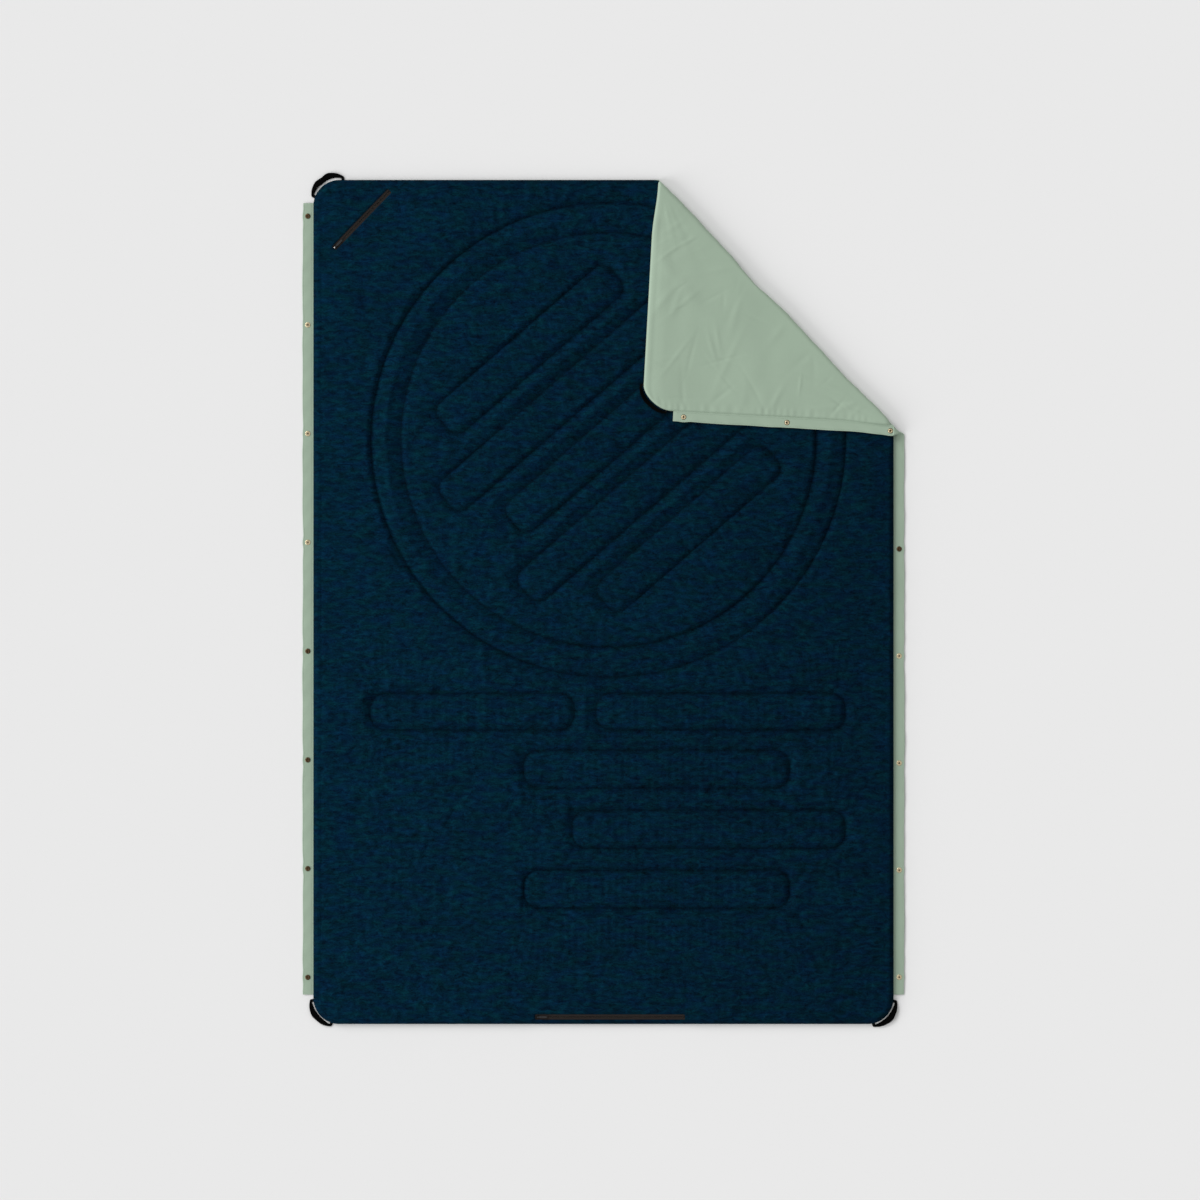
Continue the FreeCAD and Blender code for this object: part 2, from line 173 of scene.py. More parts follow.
def zip_local(p, name):
    centre, angle, _, _ = ZIPS[name]
    return rotated(p[:, :2] - np.array(centre), -angle)


def zip_world(p, name):
    centre, angle, _, _ = ZIPS[name]
    return stack([rotated(p, angle, centre), p[:, 2]])


def from_slots(p):
    """How far each point is from the nearer zip's slot."""
    each = [box_distance(zip_local(p, name), ZIPS[name][2] / 2, SLOT_HALF, 0.0028) for name in ZIPS]
    return np.minimum(*each)


def at_height(xy, z):
    return stack([xy, np.full(len(xy), z)])


def from_ends(t):
    return np.minimum(t, 1 - t)


def smooth(x, low, high):
    t = np.clip((x - low) / (high - low), 0, 1)
    return t * t * (3 - 2 * t)


def roll(d, run):
    """0 at an edge and 1 from run inwards, round like the edge of a quilt."""
    return np.sqrt(np.clip(1 - (1 - np.clip(d / run, 0, 1)) ** 2, 0, 1))


def soft_folds(p, count, seed, length, width, height, region=None, tilt=None):
    """Long soft ridges and dips scattered over a cloth."""
    rng = np.random.default_rng(seed)
    z = np.zeros(len(p))
    low, high = (p[:, :2].min(0), p[:, :2].max(0)) if region is None else np.array(region)
    for _ in range(count):
        centre = low + rng.random(2) * (high - low)
        angle = rng.uniform(0, math.pi) if tilt is None else rng.normal(*tilt)
        u = np.array([math.cos(angle), math.sin(angle)])
        q = p[:, :2] - centre
        along, across = q @ u, q @ np.array([-u[1], u[0]])
        bend = rng.normal(0, 0.6)
        long, wide = rng.uniform(*length), rng.uniform(*width)
        across = across + bend * along**2
        size = rng.uniform(*height) * rng.choice([-1, 1])
        z += size * np.exp(-((along / long) ** 2) - (across / wide) ** 2)
    return z


# ---- mesh helpers ----
def mesh_piece(name, points, faces, material, flat=None, seam=None):
    """A smooth-shaded mesh that carries its cloth coordinates, laid flat, in the attribute flat.

    seam is how near each point is to a line of quilting or to the sewn edge, from 0 to 1, where the fleece
    colour is darkened as painted shade.
    """
    points = np.asarray(points, float)
    mesh = bpy.data.meshes.new(name)
    mesh.from_pydata(points.tolist(), [], [list(map(int, f)) for f in faces])
    mesh.update()
    flat = points if flat is None else np.asarray(flat, float)
    flat = at_height(flat, 0) if flat.shape[1] == 2 else flat
    attribute = mesh.attributes.new("flat", "FLOAT_VECTOR", "POINT")
    attribute.data.foreach_set("vector", flat.astype(np.float32).ravel())
    if seam is not None:
        mesh.attributes.new("seam", "FLOAT", "POINT").data.foreach_set("value", seam.astype(np.float32))
    mesh.materials.append(material)
    mesh.shade_smooth()
    piece = bpy.data.objects.new(name, mesh)
    bpy.context.scene.collection.objects.link(piece)
    return piece


def grid_faces(rows, columns, closed=False):
    """Quads over a grid of points, and when closed also from its last column to its first."""
    i, j = (k.ravel() for k in np.mgrid[: rows - 1, : columns - (not closed)])
    here, across = i * columns + j, i * columns + (j + 1) % columns
    return stack([here, here + columns, across + columns, across])


def compact(points, faces, *more):
    """Only the points that the faces use."""
    used, new = np.unique(faces, return_inverse=True)
    return [points[used], new.reshape(faces.shape), *[m[used] for m in more]]


def finer(points, faces):
    """Each triangle cut into four."""
    sides = np.sort(np.vstack([faces[:, [0, 1]], faces[:, [1, 2]], faces[:, [2, 0]]]), axis=1)
    sides, which = np.unique(sides, axis=0, return_inverse=True)
    ab, bc, ca = which.ravel().reshape(3, -1) + len(points)
    points = np.vstack([points, points[sides].mean(1)])
    a, b, c = faces.T
    quarters = ((a, ab, ca), (ab, b, bc), (ca, bc, c), (ab, bc, ca))
    return points, np.vstack([stack(q) for q in quarters])


def joined(parts):
    """Separate (points, faces, ...) parts as one."""
    first = np.cumsum([0] + [len(part[0]) for part in parts[:-1]])
    points, faces, *more = zip(*parts)
    faces = np.vstack([f + n for f, n in zip(faces, first)])
    return [np.vstack(points), faces, *map(np.vstack, more)]


def place(piece, body, slot, *nodes):
    if body:
        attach(piece, body)
    if nodes:
        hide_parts(*nodes)


def pad(piece, body, slot, *nodes):
    place(piece, body, slot, *nodes)


def nearest(points):
    tree = KDTree(len(points))
    for i, p in enumerate(points):
        tree.insert((p[0], p[1], 0), i)
    tree.balance()
    return lambda q: np.array([tree.find((x, y, 0))[1:] for x, y in q[:, :2]])


# ---- materials ----
class Look:
    """A procedural material, with short calls for its nodes."""

    def __init__(self, name, where="flat", **values):
        self.material = bpy.data.materials.new(name)
        self.material.use_nodes = True
        self.tree = self.material.node_tree
        self.shader = self.tree.nodes["Principled BSDF"]
        if where == "flat":
            self.where = self.node("ShaderNodeAttribute", attribute_name="flat").outputs["Vector"]
        else:
            self.where = self.node("ShaderNodeTexCoord").outputs["Object"]
        for socket, value in values.items():
            self.shader.inputs[socket.replace("_", " ")].default_value = value

    def node(self, kind, inputs=None, **settings):
        n = self.tree.nodes.new(kind)
        for key, value in settings.items():
            setattr(n, key, value)
        for key, value in (inputs or {}).items():
            if isinstance(value, bpy.types.NodeSocket):
                self.tree.links.new(value, n.inputs[key])
            else:
                n.inputs[key].default_value = value
        return n

    def stretched(self, scale):
        return self.node("ShaderNodeMapping", {"Vector": self.where, "Scale": scale}).outputs["Vector"]

    def noise(self, scale, detail=3.0, roughness=0.55, distortion=0.0):
        inputs = {"Vector": self.stretched(scale), "Scale": 1.0, "Detail": detail}
        inputs.update({"Roughness": roughness, "Distortion": distortion})
        return self.node("ShaderNodeTexNoise", inputs).outputs["Fac"]

    def wave(self, scale, direction, distortion=0.0):
        inputs = {"Vector": self.where, "Scale": scale, "Distortion": distortion}
        inputs.update({"Detail": 1.0, "Detail Scale": 0.5})
        return self.node("ShaderNodeTexWave", inputs, bands_direction=direction).outputs["Fac"]

    def math(self, operation, a, b):
        return self.node("ShaderNodeMath", {0: a, 1: b}, operation=operation).outputs[0]

    def spread(self, value, low, high):
        """value from 0..1 to low..high."""
        inputs = {"Value": value, "To Min": low, "To Max": high}
        return self.node("ShaderNodeMapRange", inputs).outputs["Result"]

    def mixed(self, a, share, b):
        """share of a and the rest of b."""
        rest = self.math("MULTIPLY", b, round(1 - share, 6))
        return self.math("ADD", self.math("MULTIPLY", a, share), rest)

    def ramp(self, value, *stops):
        n = self.node("ShaderNodeValToRGB", {"Fac": value})
        for k, (at, colour) in enumerate(stops):
            stop = n.color_ramp.elements[k] if k < 2 else n.color_ramp.elements.new(at)
            stop.position = at
            stop.color = (*colour, 1)
        return n.outputs["Color"]

    def multiplied(self, a, b):
        n = self.node("ShaderNodeMix", data_type="RGBA", blend_type="MULTIPLY")
        n.inputs[0].default_value = 1.0
        self.tree.links.new(a, n.inputs[6])
        self.tree.links.new(b, n.inputs[7])
        return n.outputs[2]

    def tint(self, colour, value, low, high):
        """colour made darker or lighter by value, from low times to high times."""
        return self.shaded(colour, self.spread(value, low, high))

    def shaded(self, colour, factor):
        grey = self.node("ShaderNodeCombineColor", {k: factor for k in range(3)})
        return self.multiplied(colour, grey.outputs[0])

    def finish(self, colour=None, roughness=None, bumps=()):
        link = self.tree.links.new
        if colour is not None:
            link(colour, self.shader.inputs["Base Color"])
        if roughness is not None:
            link(roughness, self.shader.inputs["Roughness"])
        normal = None
        for height, distance, strength in bumps:
            inputs = {"Height": height, "Distance": distance, "Strength": strength}
            if normal is not None:
                inputs["Normal"] = normal
            normal = self.node("ShaderNodeBump", inputs).outputs["Normal"]
        if normal is not None:
            link(normal, self.shader.inputs["Normal"])
        return self.material


def fleece():
    look = Look(
        "brushed_navy_fleece",
        Specular_IOR_Level=0.03,
        Sheen_Weight=0.035,
        Sheen_Roughness=0.45,
        Sheen_Tint=(0.06, 0.45, 0.70, 1),
    )
    streaks = look.noise((46, 115, 60), 7.0, 0.68, 0.6)
    flecks = look.noise((230, 460, 300), 3.0, 0.7)
    patches = look.noise((8, 15, 9), 4.0, 0.6)
    dye = look.noise((22, 60, 30), 2.0, 0.5)
    colour = look.ramp(
        look.mixed(streaks, 0.6, flecks),
        (0.37, (0.0002, 0.0034, 0.0080)),
        (0.64, (0.0010, 0.0250, 0.0470)),
        (0.50, (0.0005, 0.0122, 0.0262)),
    )
    bluer = look.ramp(dye, (0.35, (0.9, 1.12, 0.90)), (0.65, (1.1, 0.88, 1.12)))
    colour = look.multiplied(look.tint(colour, patches, 0.62, 1.38), bluer)
    # Painted light: the fleece colour goes from 1.16 times on its left side to 0.82 times on its right, as
    # the light falls off across it.
    across = look.node("ShaderNodeSeparateXYZ", {"Vector": look.where}).outputs["X"]
    painted_light_falloff = {"Value": across, "From Min": -0.69, "From Max": 0.69, "To Min": 1.16, "To Max": 0.82}
    colour = look.shaded(colour, look.node("ShaderNodeMapRange", painted_light_falloff).outputs["Result"])
    # Painted shade: the fleece is darkened down to 0.6 times where the seam attribute marks the quilting
    # lines and the sewn edge.
    painted_seam_shade = look.node("ShaderNodeAttribute", attribute_name="seam").outputs["Fac"]
    colour = look.tint(colour, painted_seam_shade, 1.0, 0.60)
    pile = look.noise((900, 1500, 900), 2.0, 0.7)
    tufts = look.noise((120, 300, 200), 4.0, 0.65)
    return look.finish(colour, look.spread(flecks, 0.88, 1.0), [(tufts, 0.0011, 0.55), (pile, 0.0004, 0.6)])


def back_cloth():
    look = Look(
        "mint_ripstop",
        Specular_IOR_Level=0.28,
        Sheen_Weight=0.05,
        Sheen_Roughness=0.4,
        Sheen_Tint=(0.85, 1.0, 0.88, 1),
    )
    cloudy = look.noise((7, 7, 7), 3.0, 0.55)
    slubs = look.noise((60, 900, 60), 2.0, 0.6)
    weave = look.mixed(look.wave(330.0, "X"), 0.5, look.wave(330.0, "Y"))
    colour = look.ramp(weave, (0.0, (0.286, 0.376, 0.286)), (1.0, (0.330, 0.424, 0.329)))
    colour = look.tint(colour, cloudy, 0.93, 1.07)
    bumps = [(slubs, 0.0001, 0.3), (weave, 0.00012, 0.25)]
    return look.finish(look.tint(colour, slubs, 0.97, 1.03), look.spread(cloudy, 0.50, 0.66), bumps)


def webbing_look(name, dark, light, rib, roughness, gloss=0.12):
    """Woven tape: flat's X runs along it and Y across it."""
    look = Look(name, Specular_IOR_Level=gloss)
    weave = look.mixed(look.wave(rib, "X", 0.3), 0.6, look.wave(rib * 1.6, "Y", 0.4))
    wear = look.noise((140, 140, 140), 3.0, 0.6)
    colour = look.tint(look.ramp(weave, (0.0, dark), (1.0, light)), wear, 0.75, 1.25)
    return look.finish(colour, look.spread(wear, *roughness), [(weave, 0.0004, 0.6), (wear, 0.0002, 0.3)])


def thread_look(name, colour):
    look = Look(name, Specular_IOR_Level=0.08)
    twist = look.wave(900.0, "DIAGONAL")
    fuzz = look.noise((700, 700, 700), 2.0)
    shade = look.tint(look.ramp(twist, (0, [c * 0.8 for c in colour]), (1, colour)), fuzz, 0.8, 1.2)
    return look.finish(shade, look.spread(fuzz, 0.6, 0.8), [(twist, 0.0001, 0.5)])


def metal_look(name, dark, light, roughness, metallic=1.0):
    look = Look(name, "object", Metallic=metallic)
    tarnish = look.noise((420, 420, 420), 4.0, 0.6)
    scratch = look.noise((2600, 500, 900), 2.0, 0.6)
    colour = look.ramp(tarnish, (0.36, dark), (0.64, light))
    rough = look.spread(look.math("ADD", tarnish, look.math("MULTIPLY", scratch, 0.3)), *roughness)
    return look.finish(colour, rough, [(scratch, 0.00003, 0.4)])


def pull_look():
    look = Look("black_pull_tab", "object", Specular_IOR_Level=0.45)
    grain = look.noise((1100, 1100, 1100), 3.0, 0.6)
    rubbed = look.noise((160, 160, 160), 2.0, 0.5)
    colour = look.ramp(rubbed, (0.3, (0.006, 0.006, 0.007)), (0.7, (0.016, 0.016, 0.017)))
    return look.finish(colour, look.spread(rubbed, 0.38, 0.62), [(grain, 0.0001, 0.4)])


FLEECE = fleece()
MINT = back_cloth()
BLACKS = (2e-4, 2e-4, 2e-4), (0.0016, 0.0016, 0.0017)
WEBBING = webbing_look("black_webbing", *BLACKS, 300.0, (0.75, 0.95), 0.04)
TAPE = webbing_look("zip_tape_charcoal", (0.01, 0.0076, 0.0068), (0.03, 0.023, 0.02), 420.0, (0.65, 0.85))
COIL = webbing_look("zip_coil_nylon", (0.008, 0.007, 0.0065), (0.02, 0.017, 0.016), 500.0, (0.3, 0.45))
BAG_CLOTH = webbing_look("pocket_lining", (0.10, 0.14, 0.11), (0.16, 0.21, 0.16), 600.0, (0.6, 0.8))
NAVY_THREAD = thread_look("navy_thread", (0.0014, 0.010, 0.020))
MINT_THREAD = thread_look("mint_thread", (0.36, 0.46, 0.36))
BLACK_THREAD = thread_look("black_thread", (0.012, 0.012, 0.013))
BRASS = metal_look("stud_brass", (0.56, 0.44, 0.26), (0.90, 0.79, 0.54), (0.26, 0.46))
BRONZE = metal_look("socket_bronze", (0.045, 0.028, 0.015), (0.15, 0.098, 0.052), (0.32, 0.52))
STEEL = metal_look("zip_steel", (0.55, 0.54, 0.52), (0.82, 0.81, 0.79), (0.25, 0.4))
GUNMETAL = metal_look("zip_gunmetal", (0.010, 0.009, 0.0085), (0.03, 0.028, 0.026), (0.4, 0.6))
PULL = pull_look()


# ---- quilting pattern ----
def seam_paths():
    """Every line of quilting, as closed paths on the open blanket."""
    turn = np.linspace(0, math.tau, 240, endpoint=False)
    paths = [RING_CENTRE + r * stack([np.cos(turn), np.sin(turn)]) for r in RING_RADII]
    u = np.array([math.cos(SLOPE), math.sin(SLOPE)])
    v = np.array([-u[1], u[0]])
    for k, (start, end) in CHANNELS.items():
        centre = RING_CENTRE + v * CHANNEL_PITCH * k + u * (start + end) / 2
        paths.append(rounded_box((end - start) / 2, 0.045, 0.03, centre, SLOPE))
    for x0, x1, y0, y1 in BARS:
        paths.append(rounded_box((x1 - x0) / 2, (y1 - y0) / 2, 0.036, ((x0 + x1) / 2, (y0 + y1) / 2)))
    return [resampled(p, STEP, True) for p in paths]


SEAMS = seam_paths()
FINE_SEAMS = [resampled(p, 0.001, True) for p in SEAMS]
SEAM_ALONG = np.concatenate([np.arange(len(p)) * 0.001 for p in FINE_SEAMS])
near_seam = nearest(np.vstack(FINE_SEAMS))


# ---- the brushed shell's cloth, laid out flat ----
def hex_points(low, high, step):
    rows = []
    for i, y in enumerate(np.arange(low[1], high[1], step * math.sqrt(3) / 2)):
        x = np.arange(low[0] + (step / 2 if i % 2 else 0), high[0], step)
        rows.append(stack([x, np.full(len(x), y)]))
    return np.vstack(rows)


def thinned(stages):
    """Points of each (points, least distance) stage in turn that aren't too near one already kept."""
    cell, cells, kept = 0.004, {}, []
    for points, least in stages:
        reach = math.ceil(least / cell)
        for x, y in points.tolist():
            i, j = int(x // cell), int(y // cell)
            close = any(
                (kept[k][0] - x) ** 2 + (kept[k][1] - y) ** 2 < least * least
                for a in range(i - reach, i + reach + 1)
                for b in range(j - reach, j + reach + 1)
                for k in cells.get((a, b), ())
            )
            if not close:
                cells.setdefault((i, j), []).append(len(kept))
                kept.append((x, y))
    return np.array(kept)


def fold_crossings(offset):
    """Where a line along the fold, offset past the hinge line, crosses the top edge and the right side."""
    s = FOLD_AT + offset
    top = ((s - OUT[1] * HALF_LENGTH) / OUT[0], HALF_LENGTH)
    side = (HALF_WIDTH, (s - OUT[0] * HALF_WIDTH) / OUT[1])
    return np.array([top, side])


def outline_points(step):
    """The open blanket's outline, with points exactly where the fold's cuts meet it."""
    rim = resampled(rounded_box(HALF_WIDTH, HALF_LENGTH, CORNER_RADIUS), step, True)
    for offset in (-CUT, CUT):
        for crossing in fold_crossings(offset):
            rim[np.argmin(np.linalg.norm(rim - crossing, axis=1))] = crossing
    return rim


def triangulated(fill_step, top=False):
    """(points, triangles) of the open blanket, cut at the fold, and for its top at the zips' slots."""
    slots = [(length / 2, centre, angle) for centre, angle, length, _ in ZIPS.values()] if top else []
    cuts = [(outline_points(STEP), True)]
    for half, centre, angle in slots:
        cuts.append((resampled(rounded_box(half, SLOT_HALF, 0.0028, centre, angle, 4), 0.004, True), True))
    cuts += [(resampled(fold_crossings(offset), STEP, False), False) for offset in (-CUT, CUT)]
    edges, count = [], 0
    for points, closed in cuts:
        edges += [(count + i, count + (i + 1) % len(points)) for i in range(len(points) - (not closed))]
        count += len(points)
    rows = [
        resampled(rounded_box(HALF_WIDTH - d, HALF_LENGTH - d, CORNER_RADIUS - d), STEP, True)
        for d in (0.0006, 0.002, 0.0045, 0.008, 0.0125, 0.018)
    ]
    for half, centre, angle in slots:
        for d in (0.0008, 0.0022, 0.0045, 0.0080):
            ring = rounded_box(half + d, SLOT_HALF + d, 0.0028 + d, centre, angle, 6)
            rows.append(resampled(ring, 0.005, True))
    fill = hex_points((-HALF_WIDTH, -HALF_LENGTH), (HALF_WIDTH, HALF_LENGTH), fill_step)
    seams = [(np.vstack(SEAMS), 0.0022)] if top else []
    first = np.vstack([points for points, _ in cuts])
    points = thinned([(first, 0.0), (np.vstack(rows), 0.0005), *seams, (fill, fill_step * 0.68)])
    rest = points[count:]
    points = np.vstack([first, rest[inside_edge(rest) > -1e-7]])
    found = delaunay_2d_cdt([Vector(p) for p in points], edges, [], 0, 1e-7, False)
    points, faces = np.array([tuple(p) for p in found[0]]), np.array([tuple(f) for f in found[2]])
    middle = points[faces].mean(1)
    inside = inside_edge(middle) > 0
    if top:
        inside &= from_slots(middle) > 0
    a, b, c = (points[faces[:, k]] for k in range(3))
    turn = (b[:, 0] - a[:, 0]) * (c[:, 1] - a[:, 1]) - (b[:, 1] - a[:, 1]) * (c[:, 0] - a[:, 0])
    inside &= np.abs(turn) > 1e-11
    faces[turn < 0] = faces[turn < 0][:, ::-1]
    return points, faces[inside]


def leaves(points, faces):
    """The triangles on the panel's side of the fold and those on the corner's side."""
    middle = past_fold(points[faces].mean(1))
    return faces[middle < -CUT], faces[middle > CUT]


def relaxed(points, z, faces, fixed, hold):
    """The cloth, a little too large for the seams that hold it, puffed up by Blender's cloth simulation."""
    mesh = bpy.data.meshes.new("relaxing")
    mesh.from_pydata(stack([points, z]).tolist(), [], faces.tolist())
    cloth = bpy.data.objects.new("relaxing", mesh)
    bpy.context.scene.collection.objects.link(cloth)
    group = cloth.vertex_groups.new(name="hold")
    weight = np.where(fixed, 1.0, np.round(hold, 2))
    for value in np.unique(weight):
        group.add(np.flatnonzero(weight == value).tolist(), float(value), "REPLACE")
    modifier = cloth.modifiers.new("cloth", "CLOTH")
    settings = modifier.settings
    settings.quality = 5
    settings.mass = 0.3
    settings.tension_stiffness = settings.compression_stiffness = 15
    settings.shear_stiffness = 7.5
    settings.bending_stiffness = 4
    settings.vertex_group_mass = "hold"
    settings.pin_stiffness = 1.0
    settings.shrink_min = -0.028
    settings.use_pressure = True
    settings.uniform_pressure_force = 2.0
    settings.effector_weights.gravity = 0
    modifier.collision_settings.use_collision = False
    modifier.collision_settings.use_self_collision = False
    modifier.point_cache.frame_start, modifier.point_cache.frame_end = 1, 20
    for number in range(1, 21):
        bpy.context.scene.frame_set(number)
    shown = cloth.evaluated_get(bpy.context.evaluated_depsgraph_get()).to_mesh()
    result = np.zeros(len(points) * 3, np.float32)
    shown.vertices.foreach_get("co", result)
    bpy.data.objects.remove(cloth)
    bpy.context.scene.frame_set(1)
    result = result.reshape(-1, 3).astype(float)
    moved = np.clip(result - stack([points, z]), -0.0045, 0.0045)
    return stack([points, z]) + moved


def top_surface():
    """(flat points, relaxed points, faces) of the whole brushed shell, corner open."""
    flat, faces = triangulated(FILL_STEP, True)
    edge = inside_edge(flat)
    found = near_seam(flat)
    seam, along = found[:, 1], SEAM_ALONG[found[:, 0].astype(int)]
    at_fold = smooth(np.abs(past_fold(flat)), 0.010, 0.030)
    slot = from_slots(flat)
    depth = SEAM_DEPTH * np.exp(-seam / SEAM_REACH) * at_fold
    plateau = 0.0140 * smooth(slot, 0, 0.03) + 0.0117 * (1 - smooth(slot, 0, 0.03))
    plateau = plateau * at_fold + FOLD_LINE_TOP * (1 - at_fold)
    z = RIM + (plateau - depth - RIM) * roll(edge, EDGE_RUN)
    z = np.minimum(z, 0.0099 + 0.0018 * roll(slot, 0.0040) + np.where(slot > 0.004, 1, 0))
    fixed = (seam < 0.0008) | (edge < 0.012) | (slot < 0.009) | (np.abs(past_fold(flat)) < CUT + 0.001)
    shaped = relaxed(flat, z, faces, fixed, 0.30 + 0.16 * smooth(seam, 0.03, 0.12))
    loose = smooth(edge, 0.015, 0.06) * smooth(slot, 0.01, 0.05) * at_fold * smooth(seam, 0.0, 0.02)
    region = [(-0.66, -0.95), (-0.1, -0.30)]
    folds = soft_folds(flat, 16, 5, (0.05, 0.16), (0.012, 0.034), (0.0008, 0.0022), region, (0.5, 0.7))
    folds += soft_folds(flat, 60, 6, (0.03, 0.12), (0.010, 0.04), (0.0003, 0.0011))
    shaped[:, 2] += folds * loose - 0.0009 * np.exp(-((seam / 0.0016) ** 2)) * at_fold
    near_zip = 1 - smooth(slot, 0.022, 0.040)
    shaped[:, 2] -= np.maximum(shaped[:, 2] - 0.0118, 0) * near_zip
    return flat, shaped, faces


FLAT, TOP, TOP_FACES = top_surface()
PANEL_FACES, CORNER_FACES = leaves(FLAT, TOP_FACES)
# Painted shade: 1 on the lines of quilting and up to 0.7 along the sewn edge; the fleece colour is darkened
# there as if shade fell in these hollows.
PAINTED_SEAM_SHADE = np.exp(-((near_seam(FLAT)[:, 1] / 0.0045) ** 2)) * smooth(np.abs(past_fold(FLAT)), 0.010, 0.030)
PAINTED_SEAM_SHADE = np.maximum(PAINTED_SEAM_SHADE, 0.7 * (1 - smooth(inside_edge(FLAT), 0.002, 0.016)))


def covered(p):
    """1 under the folded corner, its placket and its loop, and 0 away from them."""
    edge = inside_edge(mirrored(p))
    return smooth(edge, -0.046, -0.030)


FOLD_ROWS = 200
ALONG_FOLD = np.array([-OUT[1], OUT[0]])


def fold_bulge():
    """How far the rolled fold stands out past the ends of its leaves, from one end to the other."""
    along = np.linspace(0, 1, FOLD_ROWS)
    ends = smooth(from_ends(along), 0.0, 0.05)
    bulge = 0.0100 + 0.0020 * ends - 0.0062 * np.exp(-(((along - 0.60) / 0.075) ** 2))
    bulge -= 0.0030 * np.exp(-(((along - 0.23) / 0.06) ** 2))
    small = 0.0007 * np.sin(along * 31) + 0.0004 * np.sin(along * 83 + 1) + 0.0002 * np.sin(along * 211)
    return bulge + small * ends


def rolled(lower, upper, bulge, turns, squareness=0.625, stepped=False):
    """(points, cloth coordinates) of a surface that turns from the lower line up to the upper one."""
    rows, cloth = [], []
    middle, half = (upper[:, 2] + lower[:, 2]) / 2, (upper[:, 2] - lower[:, 2]) / 2
    along = np.linspace(0, 1, len(lower))
    inner = smooth(from_ends(along), 0.0, 0.03)
    for k in range(turns + 1):
        a, share = math.pi * k / turns, k / turns
        line = lower + (upper - lower) * share
        level = math.copysign(1 if stepped else abs(math.cos(a)) ** squareness, math.cos(a))
        out = inner * max(math.sin(a), 0) ** squareness + (1 - inner) * (1 - abs(1 - 2 * share))
        xy = line[:, :2] + OUT * (bulge * out)[:, None]
        rows.append(stack([xy, middle - half * level]))
        cloth.append(line[:, :2] + OUT * (CUT * 2 * share))
    return np.vstack(rows), np.vstack(cloth)


def fold_piece(name, lower, upper, bulge, turns, start, material, slot, *nodes):
    """The cloth that rolls round the fold, from the lower leaf's edge to the upper one's."""
    top = material is FLEECE
    points, flat = rolled(lower, turned_over(upper), bulge, turns, stepped=top)
    faces = grid_faces(turns + 1, FOLD_ROWS)[:, :: 1 if top else -1]
    piece = mesh_piece(name, points, faces, material, flat, np.zeros(len(flat)) if top else None)
    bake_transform(piece)
    pad(piece, None, slot, *nodes)


def as_made(p):
    return p


def build_top():
    panel, corner = TOP.copy(), TOP.copy()
    panel[:, 2] -= np.maximum(panel[:, 2] - PRESSED, 0) * covered(panel)
    edge = inside_edge(FLAT)
    low, high = (rim + (FOLD_LINE_TOP - rim) * roll(edge, EDGE_RUN) for rim in (RIM, CORNER_RIM))
    corner[:, 2] = high + np.minimum(corner[:, 2] - low, 0) * 0.7 * smooth(edge, 0.004, 0.02)
    leaf_edges = []
    for name, before, body, shape, faces, put, at in (
        ("quilt_top", "", "panel", panel, PANEL_FACES, as_made, -CUT),
        ("quilt_corner_top", "corner_", "corner", corner, CORNER_FACES, turned_over, CUT),
    ):
        # The last value carried here is the painted shade of the quilting lines and the sewn edge.
        points, faces, flat, painted_seam_shade = compact(shape, faces, FLAT, PAINTED_SEAM_SHADE)
        piece = mesh_piece(name, put(points), faces, FLEECE, flat, painted_seam_shade)
        pad(piece, body, "brushed_shell", f"{before}top_shell", f"{before}insulation")
        chosen = np.flatnonzero(np.abs(past_fold(FLAT) - at) < 1e-5)
        leaf_edges.append(even(shape[chosen[np.argsort(FLAT[chosen] @ ALONG_FOLD)]], FOLD_ROWS))
    bulge = fold_bulge() * (1 - 0.78 * smooth(from_ends(np.linspace(0, 1, FOLD_ROWS)), 0.004, 0.045))
    nodes = "brushed_shell", "fold_top_shell", "fold_insulation"
    fold_piece("quilt_fold_top", *leaf_edges, bulge, 12, 0.0120, FLEECE, *nodes)


build_top()


